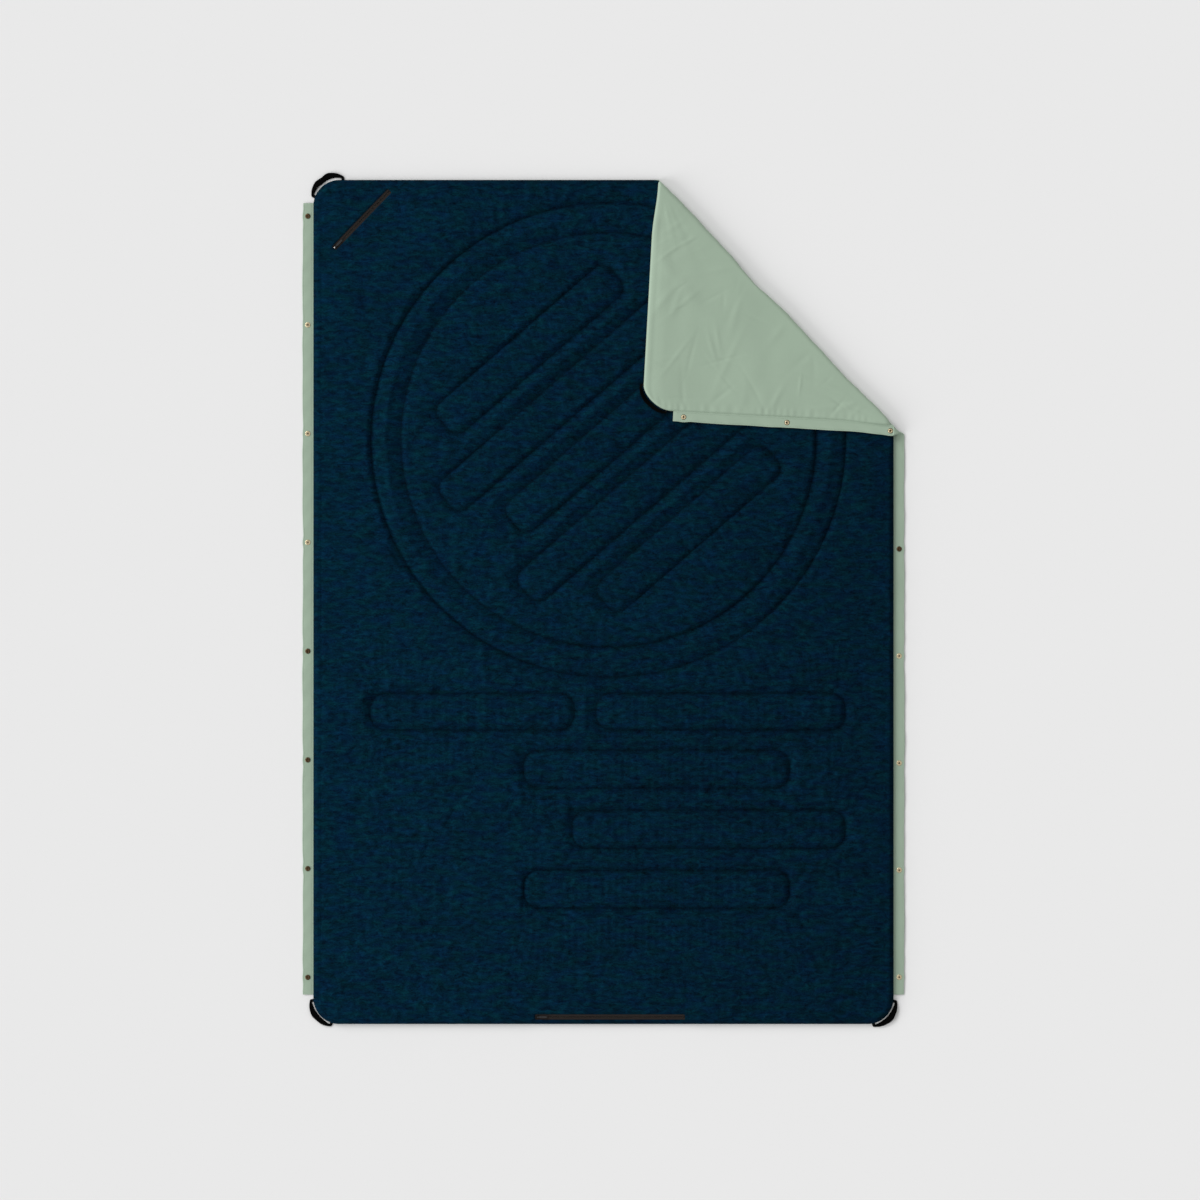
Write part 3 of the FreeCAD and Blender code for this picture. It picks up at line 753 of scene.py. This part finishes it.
# ---- the back shell ----
def build_back():
    flat, faces = triangulated(0.011)
    edge, at_fold = inside_edge(flat), smooth(np.abs(past_fold(flat)), CUT, 0.045)
    dents = smooth(soft_folds(flat, 90, 9, (0.05, 0.2), (0.008, 0.025), (0.5, 1.0)), 0.0, 1.0)
    under = RIM * (1 - roll(edge, 0.005)) + 0.0009 * smooth(edge, 0.004, 0.02) * at_fold * dents
    points, faces, flat = compact(stack([flat, under]), leaves(flat, faces)[0][:, ::-1], flat)
    pad(mesh_piece("quilt_back", points, faces, MINT, flat), "panel", "back_cloth", "back_shell")

    flat, faces = triangulated(0.0058)
    points, faces = finer(*compact(at_height(flat, 0.0), leaves(flat, faces)[1]))
    flat = points[:, :2].copy()
    edge, at_fold = inside_edge(flat), smooth(past_fold(flat), CUT, 0.05)
    region = [(0.10, 0.38), (0.70, 1.01)]
    creases = soft_folds(flat, 60, 3, (0.02, 0.09), (0.004, 0.010), (0.0003, 0.0010), region, (0.65, 0.5))
    creases += soft_folds(flat, 60, 8, (0.015, 0.06), (0.003, 0.006), (0.0003, 0.0007), region)
    creases += soft_folds(flat, 30, 4, (0.05, 0.16), (0.015, 0.04), (0.0005, 0.0013), region)
    for tip, turn in zip(fold_crossings(0.0), (0.4, 2.1)):
        away = flat - tip
        reach, angle = np.linalg.norm(away, axis=1), np.arctan2(away[:, 1], away[:, 0])
        rays = np.sin(angle * 23 + turn + 1.3 * np.sin(angle * 9)) + 0.6 * np.sin(angle * 47 + 3 * turn)
        creases += 0.0009 * rays * smooth(reach, 0.02, 0.07) * np.exp(-reach / 0.085)
    level = 0.0018 + creases * at_fold * smooth(edge, 0.0, 0.03)
    y = flat[:, 1]
    gathers = 0.00028 * (np.sin(y * 331 + 4 * np.sin(y * 27)) + np.sin(y * 197 + 3 * np.sin(y * 41 + 1)))
    level += gathers * np.exp(-(((edge - 0.010) / 0.010) ** 2)) * at_fold
    level += 0.0024 * (1 - smooth(edge, 0.0, 0.045)) * smooth(past_fold(flat), CUT, 0.06)
    points[:, 2] = CORNER_RIM + (np.maximum(level, 0.0) - CORNER_RIM) * roll(edge, 0.006)
    turned = mesh_piece("quilt_corner_back", turned_over(points), faces[:, ::-1], MINT, flat)
    pad(turned, "corner", "back_cloth", "corner_back_shell")

    top = points[np.abs(past_fold(points) - CUT) < 1e-5]
    upper = even(top[np.argsort(top[:, :2] @ ALONG_FOLD)], FOLD_ROWS)
    lower = even(at_height(fold_crossings(-CUT)[::-1], 0.0), FOLD_ROWS)
    lower[:, 2] = RIM * (1 - roll(inside_edge(lower), 0.005))
    nodes = "back_cloth", "fold_back_shell"
    fold_piece("quilt_fold_back", lower, upper, fold_bulge(), 28, 0.0121, MINT, *nodes)


build_back()


# ---- stitches ----
near_top = nearest(FLAT)


def top_height(p):
    return TOP[near_top(p)[:, 0].astype(int), 2]


def stitch_mesh(paths, pitch, length, radius, height=None):
    """Short threads along each (path, closed). height(points) is where the thread lies."""
    # share of the way along, thickness, and rise, both in radii
    stations = ((0.0, 0.25, -1.2), (0.2, 1.0, 0.2), (0.5, 1.1, 0.45), (0.8, 1.0, 0.2), (1.0, 0.25, -1.2))
    fine, threads = 0.0004, []
    for path, closed in paths:
        dense = resampled(path, fine, closed)
        span = round(length / fine)
        starts = (np.arange(int(len(dense) * fine / pitch)) * pitch / fine).astype(int)
        starts = starts if closed else starts[starts + span < len(dense)]
        a, b = dense[starts % len(dense)], dense[(starts + span) % len(dense)]
        side = (b - a)[:, ::-1] * (-1, 1) / np.linalg.norm(b - a, axis=1)[:, None]
        rings = []
        for at, size, rise in stations:
            for r, h in ((0, 1), (1, 0), (0, -1), (-1, 0)):
                middle = a + (b - a) * at
                xyz = at_height(middle + side * r * radius * size, (h * size + rise) * radius)
                rings.append(stack([xyz, at_height(middle, h)]))
        threads.append(np.stack(rings, 1))
    threads = np.vstack(threads)
    points, flat = np.split(threads.reshape(-1, 6), 2, axis=1)
    if height:
        points[:, 2] += height(points)
    faces = np.arange(len(threads))[:, None, None] * 20 + grid_faces(5, 4, True)
    return points, faces.reshape(-1, 4), flat


def build_quilt_stitches():
    for name, chosen in (("ring", SEAMS[:2]), ("channel", SEAMS[2:7]), ("bar", SEAMS[7:])):
        points, faces, flat = stitch_mesh([(p, True) for p in chosen], 0.0046, 0.0034, 0.00028, top_height)
        points[:, 2] += 0.0002
        s = past_fold(points[faces[:, 0]])
        p, f, c = compact(points, faces[s < -CUT - 0.004], flat)
        p[:, 2] -= np.maximum(p[:, 2] - PRESSED, 0) * covered(p)
        place(mesh_piece(f"quilt_{name}_stitches", p, f, NAVY_THREAD, c), "panel", "brushed_shell")
        kept = faces[s > CUT + 0.004]
        if len(kept):
            p, f, c = compact(points, kept, flat)
            p[:, 2] = FOLD_LINE_TOP + np.minimum(p[:, 2] - FOLD_LINE_TOP, 0) * 0.7
            turned = mesh_piece(f"corner_{name}_stitches", turned_over(p), f, NAVY_THREAD, c)
            place(turned, "corner", "brushed_shell")


build_quilt_stitches()


# ---- plackets and snaps ----
PLACKET_OUT = 0.0255  # from the panel's side to the placket's outer edge
PLACKET_TUCK = -0.0018
PLACKET_HALF = 0.0008
CORNER_RAISE = 0.0040
SNAP_OUT = 0.0130
PLACKET_SEAMS = (0.0034, 0.0222)  # where the stitches are, out from the panel's side
ROUND_STEPS = 36
SOCKET = [
    (0, 0.35), (2.1, 0.35), (2.75, 0.42), (2.95, 0.7), (2.95, 1.6), (3.15, 1.9), (3.7, 2.0), (4.5, 1.93),
    (5.4, 1.55), (6.0, 1.0), (6.25, 0.5), (6.15, 0.1), (5.6, 0.0), (0, 0),
]
SPRING = [(2.5, 1.25), (2.8, 1.1), (2.95, 1.25), (2.8, 1.4), (2.5, 1.25)]
STUD_FLANGE = [
    (1.7, 0.75), (2.3, 0.6), (3.2, 0.75), (4.4, 0.95), (5.4, 0.9),
    (6.1, 0.62), (6.4, 0.3), (6.2, 0.05), (5.4, 0),
]
STUD_POST = [
    (0, 2.35), (0.8, 2.5), (1.4, 2.5), (1.85, 2.2), (2, 1.75),
    (1.85, 1.3), (1.6, 1), (1.7, 0.7), (1.8, 0.5), (0, 0.4),
]
PRONGS = [
    (2.5, 0), (2.55, -0.45), (2.9, -0.72), (3.5, -0.8), (4.5, -0.76), (5.1, -0.5), (5.3, -0.2), (5.2, 0),
]
SHANK = [(0, 0.2), (2.4, 0.2), (2.35, -0.2), (1.7, -0.42), (0.9, -0.25), (0, -0.25)]
# A thin dark bronze ring round the foot of each prong ring: painted contact shadow, not a part of the snap.
SHADE_RING = [(5.0, 0.0), (5.2, -0.28), (5.8, -0.34), (6.3, -0.22), (6.4, 0.0)]


def turned_piece(name, profiles, spots, put, material):
    """Profiles in (radius, height) millimetres, turned about Z at each spot."""
    a = np.arange(ROUND_STEPS) * math.tau / ROUND_STEPS
    parts = []
    for profile in profiles:
        r, h = np.array(profile).T[:, :, None] / 1000
        part = np.dstack([r * np.cos(a), r * np.sin(a), h + 0 * a]).reshape(-1, 3)
        faces = grid_faces(len(r), ROUND_STEPS, True)[:, ::-1]
        parts += [(part + spot, faces) for spot in spots]
    points, faces = joined(parts)
    piece = mesh_piece(name, put(points), faces, material)
    piece.modifiers.new("weld", "WELD").merge_threshold = 1e-6
    return piece


def build_snaps(name, body, spots, low, put):
    high = low + 2 * PLACKET_HALF
    sockets, studs = ([(x, y, high) for x, y, k in spots if k == kind] for kind in "SP")
    backs = [(x, y, low) for x, y, _ in spots]
    for what, profiles, at, material, slot, node in (
        ("sockets", (SOCKET, SPRING), sockets, BRONZE, "socket_metal", "snap_sockets"),
        ("studs", (STUD_FLANGE,), studs, BRASS, "stud_metal", "snap_studs"),
        ("posts", (STUD_POST,), studs, BRONZE, "stud_metal", None),
        ("prong_rings", (PRONGS,), backs, BRASS, "stud_metal", "snap_prong_rings"),
        # Shanks, and the thin dark rings of painted contact shadow round the prong rings.
        ("shanks_and_shade_rings", (SHANK, SHADE_RING), backs, BRONZE, "socket_metal", None),
    ):
        piece = turned_piece(f"{name}_{what}", profiles, at, put, material)
        place(piece, body, slot, *([f"{name}_{node}"] if node else []))


def build_placket(name, side, top, bottom, low, snaps, body, put):
    first, pitch, kinds = snaps
    spots = [(side * (HALF_WIDTH + SNAP_OUT), first - pitch * n, k) for n, k in enumerate(kinds)]
    snap_y = np.array([y for _, y, _ in spots])
    phase = {"left": 0.4, "right": 2.1, "corner": 4.0}[name]

    def surface(u, y, ply):
        """A point u out from the panel's side on the upper (1) or lower (-1) ply."""
        share = np.clip(u / PLACKET_OUT, 0, 1)
        near = np.abs(y[:, None] - snap_y).min(1)
        calm = smooth(near, 0.008, 0.030)
        sway = 0.5 + 0.5 * np.sin(y * 11.3 + phase) * np.sin(y * 4.1 + 1 + phase)
        sway = 0.0016 * sway + 0.0004 * np.sin(y * 47 + phase)
        pull = 0.0007 * np.cos(np.clip(near / 0.05, 0, 1) * math.pi)
        out = u - share**2 * (sway + pull) * smooth(near, 0.0, 0.02)
        pinch = smooth(np.minimum(y - bottom, top - y), 0.0, 0.004)
        half = PLACKET_HALF * (0.30 + 0.70 * pinch) + 0.00022 * np.sin(math.pi * share) * calm
        stitched = sum(np.exp(-(((u - at) / 0.0009) ** 2)) for at in PLACKET_SEAMS)
        half = half - 0.00028 * stitched
        wave = 0.00030 * np.sin(y * 57 + phase) + 0.00025 * np.sin(y * 131 + u * 160 + phase)
        wave *= calm * share
        pucker = 0.00010 * np.sin(y * math.tau / 0.009) * stitched
        z = low + PLACKET_HALF + wave + ply * (half + pucker)
        return stack([side * (HALF_WIDTH + out), y, z])

    y = np.linspace(bottom, top, int((top - bottom) / 0.005) + 1)
    across = np.linspace(PLACKET_TUCK, 0.0246, 22)
    upper, lower = ([surface(u + 0 * y, y, ply) for u in across] for ply in (1, -1))
    middle, half = (upper[-1] + lower[-1]) / 2, (upper[-1] - lower[-1])[:, 2] / 2
    rim = [
        middle + stack([side * half * math.sin(a), 0 * half, half * math.cos(a)])
        for a in np.arange(1, 6) * math.pi / 6
    ]
    rows = upper + rim + lower[::-1]
    points = put(np.stack(rows, 1).reshape(-1, 3))
    flat = np.stack([stack([0 * y + 0.0012 * (k + 1), y]) for k in range(len(rows))], 1).reshape(-1, 2)
    faces = grid_faces(len(y), len(rows))[:, ::side]
    cover = mesh_piece(f"{name}_placket", points, faces, MINT, flat)
    if put is as_made:
        at = side * (HALF_WIDTH - 0.0004), side * (HALF_WIDTH + 0.0026)
        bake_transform(cover)
    covers = f"{name}_placket_cover", f"{name}_placket_interlining"
    place(cover, None if put is as_made else body, "back_cloth", *covers)

    threads = []
    for u in PLACKET_SEAMS:
        path = np.array([(side * (HALF_WIDTH + u), y_end) for y_end in (bottom + 0.003, top - 0.003)])
        for ply in (1, -1):
            p, faces, flat = stitch_mesh([(path, False)], 0.0042, 0.0031, 0.00024)
            at = surface(np.abs(p[:, 0]) - HALF_WIDTH, p[:, 1], ply)
            at[:, 2] += ply * (p[:, 2] + 0.00012)
            threads.append((at, faces, flat))
    points, faces, flat = joined(threads)
    seam = mesh_piece(f"{name}_placket_stitches", put(points), faces, MINT_THREAD, flat)
    place(seam, body, "back_cloth")
    build_snaps(name, body, spots, low, put)


def on_corner(p):
    return turned_over(p + np.array([0, 0, CORNER_RAISE]))


build_placket("left", -1, 0.945, -0.930, 0.0010, (0.914, 0.2576, "SPPPSSSS"), "left_placket", as_made)
build_placket("right", 1, 0.398, -0.930, 0.0010, (0.1256, 0.2536, "SPPPP"), "right_placket", as_made)
build_placket("corner", 1, 0.935, 0.4135, 0.0032, (0.910, 0.245, "PSS"), "corner", on_corner)


# ---- corner loops ----
def tube(sections):
    """(points, faces) of closed cross-sections joined one after another, with their ends closed."""
    rows, columns, _ = sections.shape
    faces = grid_faces(rows, columns, True).tolist()
    faces.append(list(range(columns)))
    faces.append(list(range((rows - 1) * columns, rows * columns))[::-1])
    return sections.reshape(-1, 3), faces


def arc(a, b, c, count):
    """Points of the circle through a, b and c, from a to c."""
    a, b, c = (complex(*p) for p in (a, b, c))
    u, v = b - a, c - a
    centre = a + (abs(u) ** 2 * v - abs(v) ** 2 * u) / (u.conjugate() * v - u * v.conjugate())
    a0, a1, a2 = np.angle([p - centre for p in (a, b, c)])
    turn = (a2 - a0) % math.tau
    if (a1 - a0) % math.tau > turn:
        turn -= math.tau
    found = centre + abs(a - centre) * np.exp(1j * (a0 + turn * np.linspace(0, 1, count)))
    return stack([found.real, found.imag])


def build_placket_turn():
    """The short length of side strip that goes round the fold, from the right strip to the corner's."""
    t = np.linspace(0, 1, 14)
    out = HALF_WIDTH + PLACKET_TUCK + 0.002 + (0.0227 - PLACKET_TUCK) * t
    lower = at_height(at_height(out[:, None], 0.3968), 0.0018)
    upper = on_corner(at_height(at_height(out[:, None], 0.4140), 0.0040))
    pinch = 0.0009 * np.sqrt(1 - np.abs(2 * t - 1) ** 4) + 0.00012
    plies = []
    for ply in (1, -1):
        thick = ply * stack([0 * t, 0 * t, pinch])
        strip = rolled(lower - thick, upper + thick, 0.0045 + 0.0030 * t + ply * pinch, 18, 0.8)
        plies.append(stack(strip).reshape(19, 14, 5)[:, ::ply])
    both = np.hstack(plies)
    points, faces = tube(both[:, :, :3])
    turn = mesh_piece("placket_turn", points, [f[::-1] for f in faces], MINT, both[:, :, 3:].reshape(-1, 2))
    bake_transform(turn)
    place(turn, None, "back_cloth")


build_placket_turn()


def outline_point(sx, sy, from_corner, along_side):
    across = max(CORNER_RADIUS - from_corner, 0) / CORNER_RADIUS
    other = math.sqrt(1 - across**2)
    straight = max(from_corner - CORNER_RADIUS, 0)
    normal = np.array([other, across] if along_side else [across, other])
    point = np.array([HALF_WIDTH, HALF_LENGTH]) - CORNER_RADIUS + normal * CORNER_RADIUS
    point = point - np.array([0, straight] if along_side else [straight, 0])
    return point * (sx, sy), normal * (sx, sy)


def flipped(p):
    """Points made as for the panel, put where the turned corner has them."""
    return turned_over(p * (1, 1, -1) + (0, 0, LOFT))


WEB_END, WEB_HALF, WEB_LEVEL = 0.007, 0.00065, 0.00165
LOOP_STEPS, TAB_STEPS, PLY_STEPS = 61, 7, 11
BARTACKS = {"panel": [], "corner": []}


def build_loop(name, sx, sy, on_end, on_side, gap, width, lean, parent):
    ends = [outline_point(sx, sy, on_end, False), outline_point(sx, sy, on_side, True)]
    tips = [point + normal * 0.005 for point, normal in ends]
    axis = (tips[1] - tips[0]) / np.linalg.norm(tips[1] - tips[0])
    out = np.array([axis[1], -axis[0]])
    out *= np.sign(out @ (sx, sy))
    diagonal = np.array([sx * math.cos(math.radians(lean)), sy * math.sin(math.radians(lean))])
    middle = np.array([sx * (HALF_WIDTH - CORNER_RADIUS), sy * (HALF_LENGTH - CORNER_RADIUS)])
    inner = middle + diagonal * (CORNER_RADIUS + gap)
    outer = inner + diagonal * width
    half, lift = axis * WEB_END / 2, out * 0.00105
    outside = arc(tips[0] - half + lift, outer, tips[1] + half + lift, LOOP_STEPS)
    inside = arc(tips[0] + half + lift, inner, tips[1] - half + lift, LOOP_STEPS)
    phase = {"top_left": 0.0, "bottom_left": 1.9, "bottom_right": 3.7, "top_right": 5.2}[name]
    t = np.linspace(0, 1, LOOP_STEPS)
    slack = (0.0021 if name == "top_left" else 0.0009) * np.sin(math.pi * t)
    outside += (slack * (np.sin(8.5 * t + phase) + 0.4 * np.sin(21 * t + phase)))[:, None] * out
    inside += (slack * 0.5 * (np.sin(7.0 * t + phase + 0.6) + 0.4 * np.sin(19 * t)))[:, None] * out
    tabs = []
    for (point, normal), sign in zip(ends, (-1, 1)):
        edge = np.array([-normal[1], normal[0]])
        edge *= np.sign(edge @ axis) * sign * WEB_END / 2
        steps = point + normal * np.linspace(-0.008, 0.0040, TAB_STEPS)[::-sign, None]
        tabs.append((steps + edge, steps - edge))
    left = np.vstack([tabs[0][0], outside, tabs[1][0]])
    right = np.vstack([tabs[0][1], inside, tabs[1][1]])
    still = np.zeros(TAB_STEPS)
    swing = np.r_[still, np.sin(math.pi * t), still][:, None]
    along = distances((left + right) / 2)[:, None]
    across = np.r_[np.linspace(-1, 1, PLY_STEPS), np.linspace(1, -1, PLY_STEPS)]
    ply = np.repeat((1, -1), PLY_STEPS)
    side = np.abs(across)
    thick = WEB_HALF * (1 - 0.75 * side**6 + 0.22 * np.exp(-(((side - 0.86) / 0.08) ** 2)))
    xy = (left + right)[:, None] / 2 + (left - right)[:, None] / 2 * across[:, None]
    rise = swing * (0.0022 + 0.0016 * across + 0.0009 * np.sin(along * 55 + phase) * across)
    z = WEB_LEVEL + rise + ply * (thick + 0.00006 * np.sin(along * math.tau / 0.0021))
    wide = np.linalg.norm(left - right, axis=1)[:, None] / 2
    cloth = np.dstack([along + 0 * across, across * wide, ply * 0.001 + 0 * along]).reshape(-1, 3)
    points, faces = tube(np.dstack([xy, z]))
    if parent == "corner":
        points, faces = flipped(points), [f[::-1] for f in faces]
    loop = mesh_piece(f"{name}_loop_webbing", points, faces, WEBBING, cloth)
    ends_at = np.array([tips[0] - out * 0.0015, tips[0] + out * 0.0035])
    if parent == "corner":
        ends_at = turned_over(at_height(ends_at, 0.0))
    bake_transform(loop)
    place(loop, None, "webbing", f"{name}_loop")
    for point, normal in ends:
        edge = np.array([-normal[1], normal[0]]) * WEB_END / 2 * 0.86
        zigzag = [point + normal * (0.0008 + 0.00032 * k) + edge * (-1) ** k for k in range(10)]
        BARTACKS[parent].append(np.array(zigzag))


for row in (
    ("top_left", -1, 1, 0.070, 0.040, 0.0050, 0.0140, 45, "panel"),
    ("bottom_left", -1, -1, 0.043, 0.056, 0.0018, 0.0135, 40, "panel"),
    ("bottom_right", 1, -1, 0.048, 0.054, 0.0020, 0.0140, 44, "panel"),
    ("top_right", 1, 1, 0.060, 0.048, 0.0040, 0.0110, 45, "corner"),
):
    build_loop(*row)


def build_bartacks():
    for body, node in (("panel", "loop_tabs"), ("corner", "corner_loop_tabs")):
        parts = []
        for side in (1, -1):
            p, faces, flat = stitch_mesh([(z, False) for z in BARTACKS[body]], 0.0016, 0.0015, 0.0002)
            p[:, 2] = WEB_LEVEL + side * (WEB_HALF * 1.1 + p[:, 2] + 0.0001)
            parts.append((flipped(p) if body == "corner" else p, faces, flat))
        points, faces, flat = joined(parts)
        place(mesh_piece(f"{node}_bartacks", points, faces, BLACK_THREAD, flat), body, "webbing", node)


build_bartacks()


# ---- zips ----
def tape_sections(length, sign):
    """One woven tape, a bead along its inner edge where the coil is sewn on."""
    x = np.linspace(-length / 2 - 0.008, length / 2 + 0.008, int(length / 0.0015))[:, None]
    across = np.r_[np.linspace(0.0006, 0.0084, 14), np.linspace(0.0084, 0.0006, 14)]
    bead = 0.00018 * np.exp(-(((across - 0.0011) / 0.0004) ** 2))
    bead -= 0.00010 * np.exp(-(((across - 0.0026) / 0.0003) ** 2))
    ripple = 0.00004 * (-1.0) ** np.arange(len(x))[:, None] * (across > 0.0020)
    z = (TAPE_LOW + TAPE_TOP) / 2 + np.repeat((1, -1), 14) * (0.00024 + bead + ripple)
    return np.dstack([x + 0 * across, sign * across + 0 * x, z])


def coil_sections(length, sign, pitch=0.0016, wire=0.00024):
    """One nylon coil, wound round a line along the zip."""
    turns = int((length - 0.004) / pitch)
    t = np.arange(turns * 12) / 12
    a = math.tau * t
    x = -length / 2 + 0.002 + (t + (0.5 if sign > 0 else 0)) * pitch
    ring = np.arange(6) * math.tau / 6
    y = 0.00155 - np.cos(a) * 0.00125
    z = 0.0083 + np.sin(a) * 0.00034
    normal = stack([-np.cos(a) * 0.34, np.sin(a) * 1.25])
    normal /= np.linalg.norm(normal, axis=1)[:, None]
    across, up = (line[:, None] + wire * np.cos(ring) * n[:, None] for line, n in zip((y, z), normal.T))
    return np.dstack([x[:, None] + wire * np.sin(ring), sign * across, up])


def pouch(length, depth, sign):
    """The flat bag behind a zip, its two plies resting on each other."""
    x = np.linspace(-length / 2, length / 2, int(length / 0.006))[:, None]
    y = np.linspace(0.0066, depth, int(depth / 0.006))
    near = np.minimum(length / 2 - np.abs(x), np.minimum(depth - y, y - 0.0066))
    half = 0.0005 * smooth(near, 0.0, 0.004) + 0.00006
    wave = 0.00014 * np.sin(x * 71 + y * 33) * np.sin(y * 57 + x * 19)
    level = 0.0083 - 0.0048 * smooth(y, 0.010, 0.050) + wave
    plies = [np.dstack([x + 0 * y, sign * y + 0 * x, level + ply * half])[:, ::ply] for ply in (1, -1)]
    return np.hstack(plies)


def dress(node, material, bevel):
    """Gives a CAD part that is shown as it is its material and softer edges."""
    part = frame["nodes"][node]
    if not part.material_slots:
        part.data.materials.append(material)
    for slot in part.material_slots:
        slot.material = material
    modifier = part.modifiers.new("edges", "BEVEL")
    modifier.width, modifier.segments, modifier.limit_method = bevel, 2, "ANGLE"


RIVET = [(0, 2.1), (0.8, 2.02), (1.4, 1.8), (1.7, 1.45), (1.65, 1.25), (1.1, 1.1), (1.0, 0.9), (1.0, -0.05)]


def build_rivet(name):
    """The bright rivet on the nose of the slider."""
    slider = frame["nodes"][f"{name}_zip_slider"]
    points = np.array([slider.matrix_world @ v.co for v in slider.data.vertices])
    along = zip_local(points, name)[:, 0]
    plate = points[along < along.min() + 0.0025, 2].max()
    at = zip_world(np.array([[along.min() + 0.0014, 0, plate]]), name)
    place(turned_piece(f"{name}_slider_rivet", [RIVET], at, as_made, STEEL), f"{name}_slider", "zip_metal")


def build_zip(name, sides):
    _, _, length, bag_side = ZIPS[name]
    for sign, side in zip((-1, 1), sides):
        for part, sections, material, slot in (
            ("tape", tape_sections(length, sign), TAPE, "zip_tape"),
            ("coil", coil_sections(length, sign), COIL, "zip_coil"),
        ):
            points, faces = tube(sections)
            piece = mesh_piece(f"{name}_{part}_{side}", zip_world(points, name), faces, material, points)
            place(piece, "panel", slot, f"{name}_zip_{part}_{side}")
    depth = 0.130 if name == "stash" else 0.300
    points, faces = tube(pouch(length, depth, bag_side))
    bag = mesh_piece(f"{name}_bag", zip_world(points, name), faces, BAG_CLOTH, points)
    place(bag, "panel", "bag_cloth", f"{name}_pocket_bag")
    path = rounded_box(length / 2 + 0.003, SLOT_HALF + 0.003, 0.005, *ZIPS[name][:2])
    points, faces, flat = stitch_mesh([(path, True)], 0.0040, 0.0030, 0.00026, top_height)
    points[:, 2] += 0.00016
    place(mesh_piece(f"{name}_zip_stitches", points, faces, NAVY_THREAD, flat), "panel", "brushed_shell")
    dress(f"{name}_zip_end_stops", GUNMETAL, 0.0003)
    dress(f"{name}_zip_slider", GUNMETAL, 0.00025)
    dress(f"{name}_zip_pull", PULL, 0.0003)
    if name == "stash":
        build_rivet(name)


build_zip("stash", ("inner", "outer"))
build_zip("hem", ("lower", "upper"))


# ---- floor, light and camera ----
def build_stage():
    bpy.ops.mesh.primitive_plane_add(size=14, location=(0, 0, -0.0003))
    floor = bpy.context.object
    floor.name = "floor"
    look = Look("floor_paper", "object", Specular_IOR_Level=0.1, Roughness=0.9)
    tone = look.noise((3, 3, 3), 2.0)
    paper = look.ramp(tone, (0, (0.797, 0.797, 0.797)), (1, (0.803, 0.803, 0.803)))
    floor.data.materials.append(look.finish(paper))

    world = bpy.data.worlds.new("studio")
    bpy.context.scene.world = world
    world.use_nodes = True
    background = world.node_tree.nodes["Background"]
    background.inputs["Color"].default_value = (1, 1, 1, 1)
    background.inputs["Strength"].default_value = 0.552

    # direction of the lamp in plan, its height above the floor, its strength and how soft its shadows are
    for name, plan, elevation, energy, softness in (
        ("key", (-0.75, 0.66), 29, 1.72, 30),
        ("side", (-0.92, -0.39), 21, 1.75, 36),
    ):
        lamp = bpy.data.lights.new(name, "SUN")
        lamp.energy, lamp.angle = energy, math.radians(softness)
        light = bpy.data.objects.new(name, lamp)
        bpy.context.scene.collection.objects.link(light)
        rise = math.tan(math.radians(elevation)) * math.hypot(*plan)
        light.rotation_euler = Vector((*plan, rise)).to_track_quat("Z", "Y").to_euler()

    lens = bpy.data.cameras.new("camera")
    lens.sensor_width = 36
    lens.lens = 126.6
    lens.clip_end = 100
    camera = bpy.data.objects.new("camera", lens)
    camera.location = (-0.0083, 0.0047, 10.0)
    bpy.context.scene.collection.objects.link(camera)
    bpy.context.scene.camera = camera
    bpy.context.scene.view_settings.view_transform = "Standard"


build_stage()
